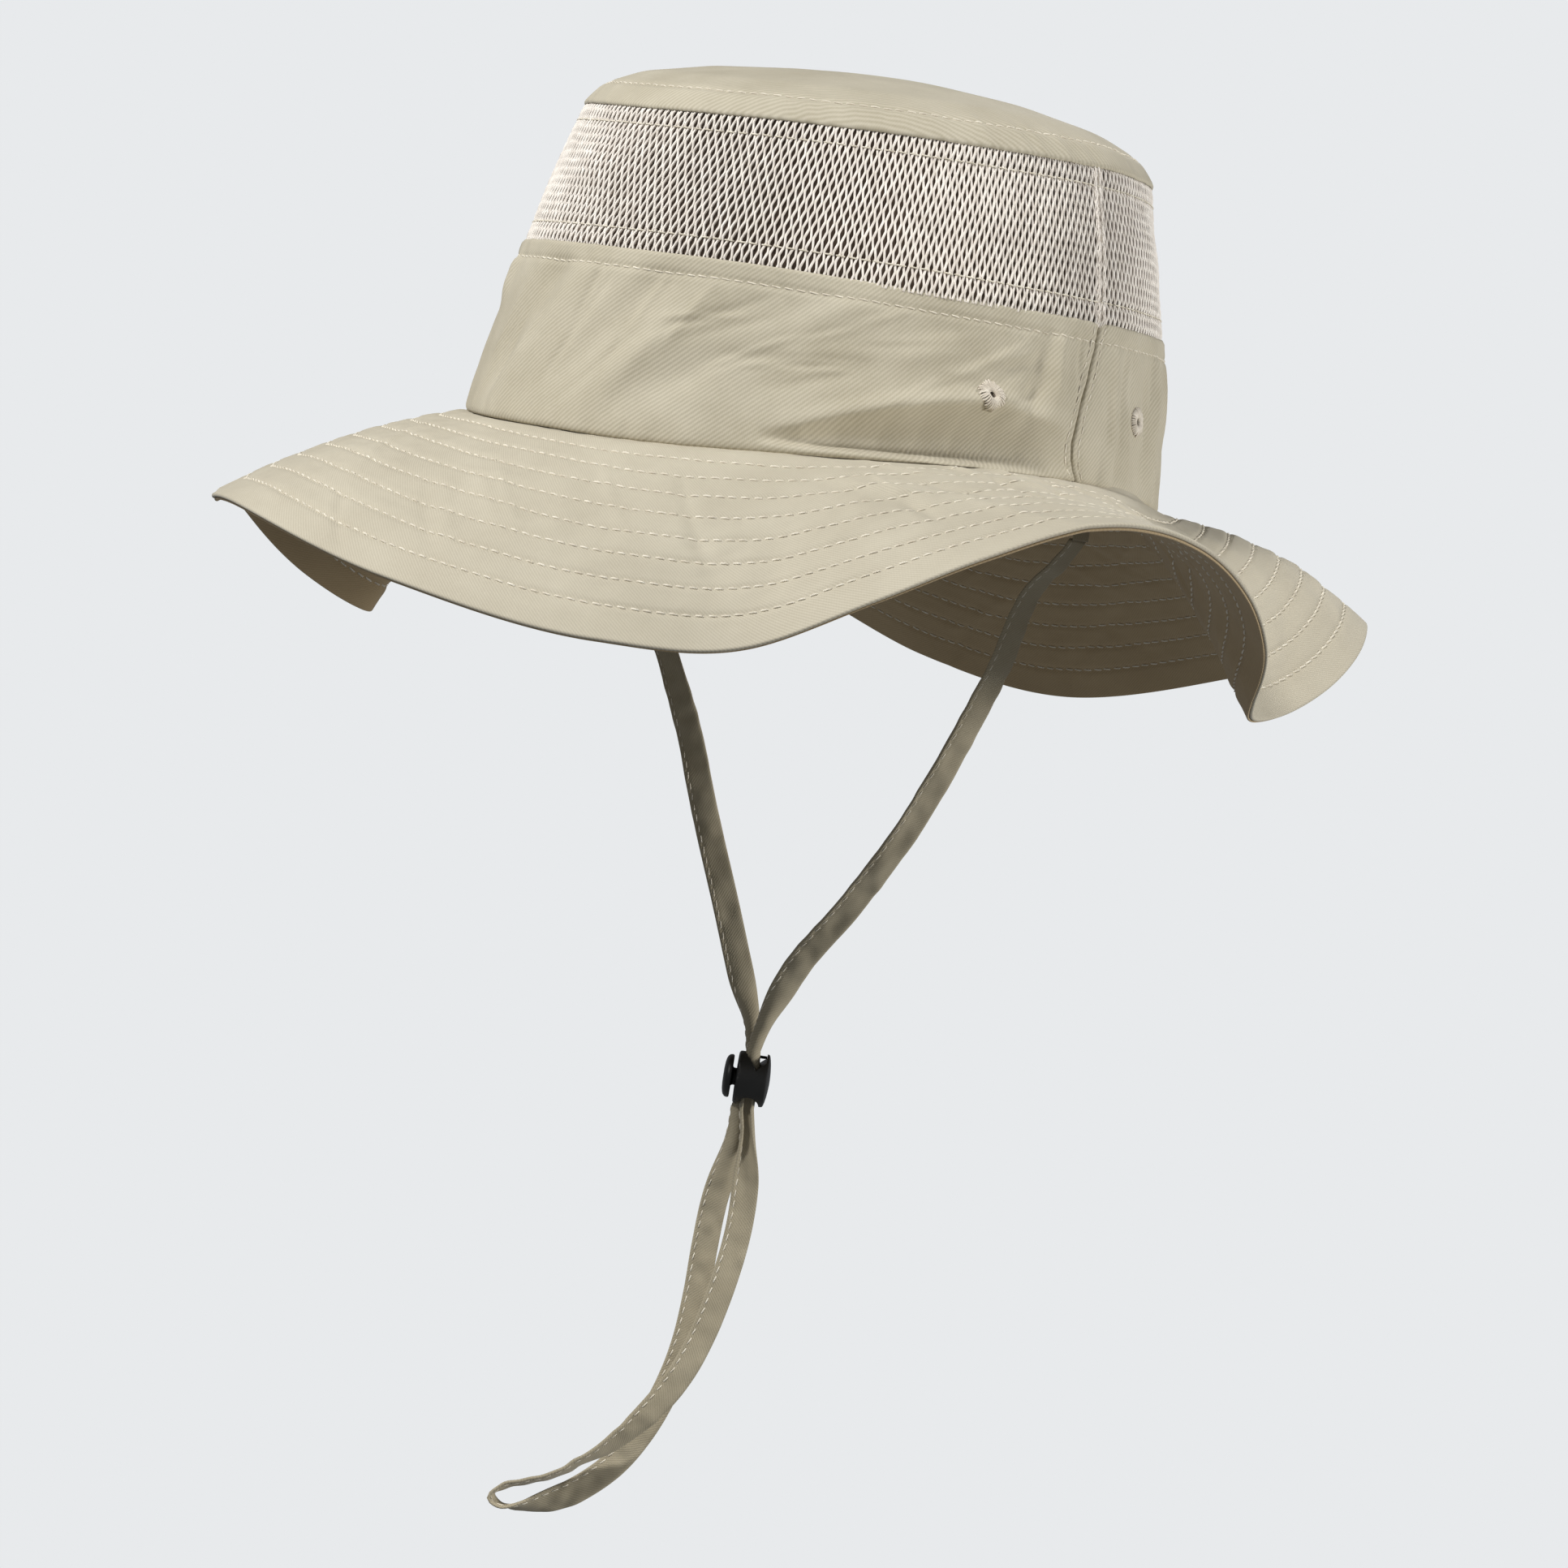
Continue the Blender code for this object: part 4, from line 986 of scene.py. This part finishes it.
def chin_strap(lock_pieces):
    right, front = np.array(LOCK_WAY), np.array((LOCK_WAY[1], -LOCK_WAY[0], 0.0))
    lengths = {}
    for key, points, seed in (("left", LEFT_ROUTE, 301), ("right", RIGHT_ROUTE, 311)):
        route = smooth_route(points, 1.0)
        turn = route[:, 3] * RAD
        across = np.stack([np.cos(turn), np.sin(turn), 0 * turn], -1)
        line = route[:, :3]
        # the strap runs on to the middle of the lock
        goal = np.array([LOCK_CENTRE[0], 0, -160.5]) + front * (0.9 if key == "left" else -0.9)
        line = np.concatenate([line, line[-1] + (goal - line[-1]) * np.linspace(0, 1, 7)[1:, None]])
        across = np.concatenate([across, np.repeat(across[-1:], 6, 0)])
        s = run_of(line)
        lengths[key] = strap(
            f"strap_{key}_cloth", f"strap_{key}", line, across, fold_near(s, s[-1]),
            seed,
        )
    flat = smooth_route(LOOP_ROUTE, 1.0)
    base = np.array((LOCK_CENTRE[0], LOCK_CENTRE[1], 0.0))
    line = base + right * (flat[:, :1] - LOCK_CENTRE[0] * LOCK_WAY[0]) + front * flat[:, 1:2]
    line[:, 2] = flat[:, 2]
    # both ends run on into the middle of the lock
    inside = np.array([LOCK_CENTRE[0], 0.0, -164.5])
    steps = np.linspace(0, 1, 6)[:, None]
    head = inside - front * 0.9 + (line[0] - inside + front * 0.9) * steps[:-1]
    tail = line[-1] + (inside + front * 0.9 - line[-1]) * steps[1:]
    line = np.concatenate([head, line, tail])
    s = run_of(line)
    tip = s[np.argmin(line @ right)]
    run = unit(np.gradient(line, axis=0))
    plain = np.cross(np.repeat(front[None], len(line), 0), run)
    roll = -math.pi * (0.62 * ease(s, tip - 26.0, tip + 6.0) + 0.38 * ease(s, tip + 18.0, tip + 62.0))
    across = plain * np.cos(roll)[:, None] + np.cross(run, plain) * np.sin(roll)[:, None]
    lengths["loop"] = strap(
        "strap_loop_cloth", "strap_loop", line, across, fold_near(s, 0.0) + fold_near(s, s[-1]),
        321,
    )
    return lengths


def anchors():
    for side, key in ((1, "left"), (-1, "right")):
        z = np.linspace(-5.6, -10.5, 12)[:, None]
        q = np.linspace(-1, 1, 13)[None, :]
        thick = 0.45 * np.sqrt(np.clip(1 - np.abs(q) ** 9, 0.03, 1)) + 0 * z
        y, z = 3.5 * q + 0 * z, z + 0 * q
        faces = [np.stack([side * 84.0 + sign * thick, y, z], -1) for sign in (1, -1)]
        name = f"strap_anchor_{key}_cloth"
        obj = make_piece(name, layer(name, *faces, False, np.stack([y, z], -1)), "hat", STRAP_CLOTH)
        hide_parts(f"strap_anchor_{key}")
        rows = []
        y = np.linspace(-3.0, 3.0, 30)
        normal = np.repeat([[-side, 0.0, 0.0]], 30, 0)
        for level, seed in ((-6.6, 341), (-8.4, 342)):
            line = np.stack([side * (84.0 - 0.45) + 0 * y, y, level + 0 * y], -1)
            rows.append(stitches(line, normal, 1.9, 1.6, 0.17, seed=seed))
        stitch_piece(f"strap_anchor_{key}_stitches", rows)


# ---- cord lock
def closed_mesh(name, bm):
    bmesh.ops.recalc_face_normals(bm, faces=bm.faces[:])
    mesh = bpy.data.meshes.new(name)
    bm.to_mesh(mesh)
    bm.free()
    return mesh


def lathe(name, outline, sides=96):
    """Closed mesh turned about the X axis from (x, radius) points whose ends lie on the axis."""
    bm = bmesh.new()
    ends = [bm.verts.new((outline[i][0] * MM, 0, 0)) for i in (0, -1)]
    rings = []
    for i in range(sides):
        c, s = math.cos(TAU * i / sides) * MM, math.sin(TAU * i / sides) * MM
        rings.append([bm.verts.new((x * MM, r * c, r * s)) for x, r in outline[1:-1]])
    for i in range(sides):
        a, b = rings[i], rings[(i + 1) % sides]
        bm.faces.new((ends[0], b[0], a[0]))
        bm.faces.new((ends[1], a[-1], b[-1]))
        for j in range(len(a) - 1):
            bm.faces.new((a[j], b[j], b[j + 1], a[j + 1]))
    return closed_mesh(name, bm)


def prism(outline, low, high):
    """Solid swept along Y from an (x, z) outline."""
    bm = bmesh.new()
    ends = [[bm.verts.new((x * MM, y * MM, z * MM)) for x, z in outline] for y in (low, high)]
    bm.faces.new(ends[0])
    bm.faces.new(ends[1])
    for i in range(len(outline)):
        k = (i + 1) % len(outline)
        bm.faces.new((ends[0][i], ends[0][k], ends[1][k], ends[1][i]))
    return add_object("cutter", closed_mesh("cutter", bm))


def to_lock(mesh):
    mesh.transform(Matrix.Translation(Vector(LOCK_CENTRE) * MM) @ Matrix.Rotation(LOCK_YAW * RAD, 4, "Z"))


def moulded(obj, width, body, node):
    """Round the edges of a moulded piece, put it in the lock's place and make it ride there."""
    bevel = obj.modifiers.new("edge", "BEVEL")
    bevel.width, bevel.segments, bevel.limit_method, bevel.angle_limit = width * MM, 3, "ANGLE", 35 * RAD
    baked(obj)
    mesh = obj.data
    mesh.polygons.foreach_set("use_smooth", np.ones(len(mesh.polygons), dtype=bool))
    mesh.set_sharp_from_angle(angle=38 * RAD)
    to_lock(mesh)
    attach(obj, body)
    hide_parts(node)
    return obj


def cord_lock():
    r, h = LOCK_RADIUS, LOCK_HALF
    outline = [(-h, 0.0), (-h, 3.4), (-h + 0.05, r - 1.2), (-h + 0.12, r - 0.5)]
    outline += [(-h + 0.45, r - 0.08), (-h + 0.9, r)]
    outline += [(x, r) for x in np.linspace(-h + 1.6, h - 1.2, 7)]
    outline += [(h - 0.55, r), (h - 0.2, r - 0.12), (h, r - 0.5), (h + 0.25, r - 1.4)]
    outline += [(h + 0.5, r - 2.8), (h + 0.68, r - 4.4), (h + 0.78, r - 6.0), (h + 0.8, 0.0)]
    name = "cord_lock_barrel_body"
    barrel = add_object(name, lathe(name, outline), BLACK)
    bore = lathe("cutter", [(-20, 0), (-20, 3.0), (h - 0.2, 3.0), (h - 0.2, 0)], 48)
    cut_with(barrel, add_object("cutter", bore))
    cut_with(barrel, prism([(-1.9, -20), (1.9, -20), (1.9, 20), (-1.9, 20)], -3.4, 3.4))
    # a straight V notch above and a rounder arch below
    cut_with(barrel, prism([(0.85, 3.0), (3.35, 5.3), (3.35, 12.0), (-3.0, 12.0), (-1.7, 6.7)], -20, 20))
    arch = [(0.1 + 2.9 * math.cos(t), -7.2 + 3.0 * math.sin(t)) for t in np.linspace(0, math.pi, 15)]
    cut_with(barrel, prism([*arch, (-2.8, -12.0), (3.0, -12.0)], -20, 20))
    for z0, z1 in ((5.45, 6.1), (-6.1, -5.45)):
        bar = prism([(-h + 0.8, z0), (h - 0.8, z0), (h - 0.8, z1), (-h + 0.8, z1)], 1.7, 2.7)
        cut_with(barrel, bar, "UNION")
    moulded(barrel, 0.18, "cord_lock", "cord_lock_barrel")

    button = [
        (-7.35, 0.0), (-7.33, 1.8), (-7.22, 3.4), (-7.0, 4.5), (-6.7, 5.1), (-6.3, 5.5),
        (-5.9, 5.62), (-5.5, 5.65), (-5.25, 5.55), (-5.12, 5.3), (-5.1, 4.6), (-5.1, 2.6),
        (-4.9, 2.35), (-4.6, 2.25), (-3.3, 2.25), (-3.3, 2.7), (2.2, 2.7), (2.2, 0.0),
    ]
    name = "cord_lock_button_body"
    plunger = add_object(name, lathe(name, button), BLACK)
    cut_with(plunger, prism([(-2.4, -10), (1.4, -10), (1.4, 10), (-2.4, 10)], -2.0, 2.0))
    moulded(plunger, 0.12, "cord_lock_button", "cord_lock_plunger")

    t = np.linspace(0, 1, 120)
    a = t * TAU * 2.5
    ring = np.stack([0 * a, np.cos(a), np.sin(a)], -1)
    centre = 1.8 * ring
    centre[:, 0] = 2.45 + 1.2 * t
    coil = tube_mesh("cord_lock_spring_coil", tubes_along(centre[None], ring[None], 0.14, 8))
    to_lock(coil)
    spring = make_piece("cord_lock_spring_coil", coil, "cord_lock", STEEL)
    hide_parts("cord_lock_spring")
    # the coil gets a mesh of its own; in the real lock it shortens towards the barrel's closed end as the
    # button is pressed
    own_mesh(spring)
    return [barrel, plunger, spring]


# ---- floor and light
def area_light(name, place, aim, size, power, colour=(1, 1, 1)):
    data = bpy.data.lights.new(name, "AREA")
    data.shape, data.size, data.energy, data.color = "DISK", size, power, colour
    obj = add_object(name, data)
    way = Vector(aim) - Vector(place)
    obj.matrix_world = Matrix.Translation(place) @ way.to_track_quat("-Z", "Y").to_matrix().to_4x4()


def studio():
    """A pale floor that sweeps up far away, with soft light from the left, above and the right."""
    bend = np.linspace(0, math.pi / 2, 14)[1:]
    radius = np.concatenate([np.linspace(0.001, 2.4, 6), 2.4 + 0.9 * np.sin(bend), np.full(5, 3.3)])
    height = np.concatenate([np.zeros(6), 0.9 * (1 - np.cos(bend)), np.linspace(1.3, 9.0, 5)])
    turn = (np.arange(72) * TAU / 72)[:, None]
    points = np.stack([radius * np.sin(turn), -radius * np.cos(turn), height - 1.25 + 0 * turn], -1)
    index = np.arange(72 * len(radius)).reshape(72, -1)
    ahead = np.roll(index, -1, 0)
    faces = np.stack([index[:, :-1], ahead[:, :-1], ahead[:, 1:], index[:, 1:]], -1).reshape(-1, 4)
    mesh = quad_mesh("floor", points / MM, faces)
    mat, _, shader = new_material("pale_floor", 0.9, specular=0.0)
    shader.inputs["Base Color"].default_value = (0.0, 0.0, 0.0, 1)
    shader.inputs["Emission Color"].default_value = (0.807, 0.823, 0.839, 1)
    shader.inputs["Emission Strength"].default_value = 1.0
    floor = add_object("floor", mesh, mat)
    floor.visible_diffuse = floor.visible_glossy = floor.visible_shadow = False
    a = CAMERA_AZIMUTH * RAD
    right, back = Vector((math.cos(a), math.sin(a), 0)), Vector((math.sin(a), -math.cos(a), 0))
    up = Vector((0, 0, 1))
    area_light("key", back * 1.14 - right * 1.16 + up * 1.25, (0, 0, 0.02), 0.45, 40.0, (1.0, 0.985, 0.965))
    area_light("top", back * 0.1 + up * 1.45 - right * 0.9, (0, 0, 0.02), 0.5, 4.0, (0.97, 0.985, 1.0))
    area_light("fill", back * 0.50 + right * 1.85 + up * 0.15, (0, 0, 0.02), 0.5, 25.0, (1.0, 0.985, 0.96))
    world = bpy.data.worlds.new("studio")
    bpy.context.scene.world = world
    world.use_nodes = True
    world.node_tree.nodes["Background"].inputs["Color"].default_value = (0.93, 0.96, 1.0, 1)
    world.node_tree.nodes["Background"].inputs["Strength"].default_value = 0.22
    bpy.context.scene.view_settings.view_transform = "Standard"
    bpy.context.scene.view_settings.look = "None"


place_camera()
LENGTHS = chin_strap(cord_lock())
anchors()
side_panel("side_panel_front_cloth", "side_panel_front", -1)
side_panel("side_panel_back_cloth", "side_panel_back", 1)
band_stitches()
crown_top()
mesh_panel("mesh_panel_front_net", "mesh_panel_front", -1)
mesh_panel("mesh_panel_back_net", "mesh_panel_back", 1)
mesh_backing_and_shade()
net_seams()
brim()
linings()
for key, psi in EYELETS.items():
    eyelet(key, psi)
studio()

print("strap lengths in mm", LENGTHS)
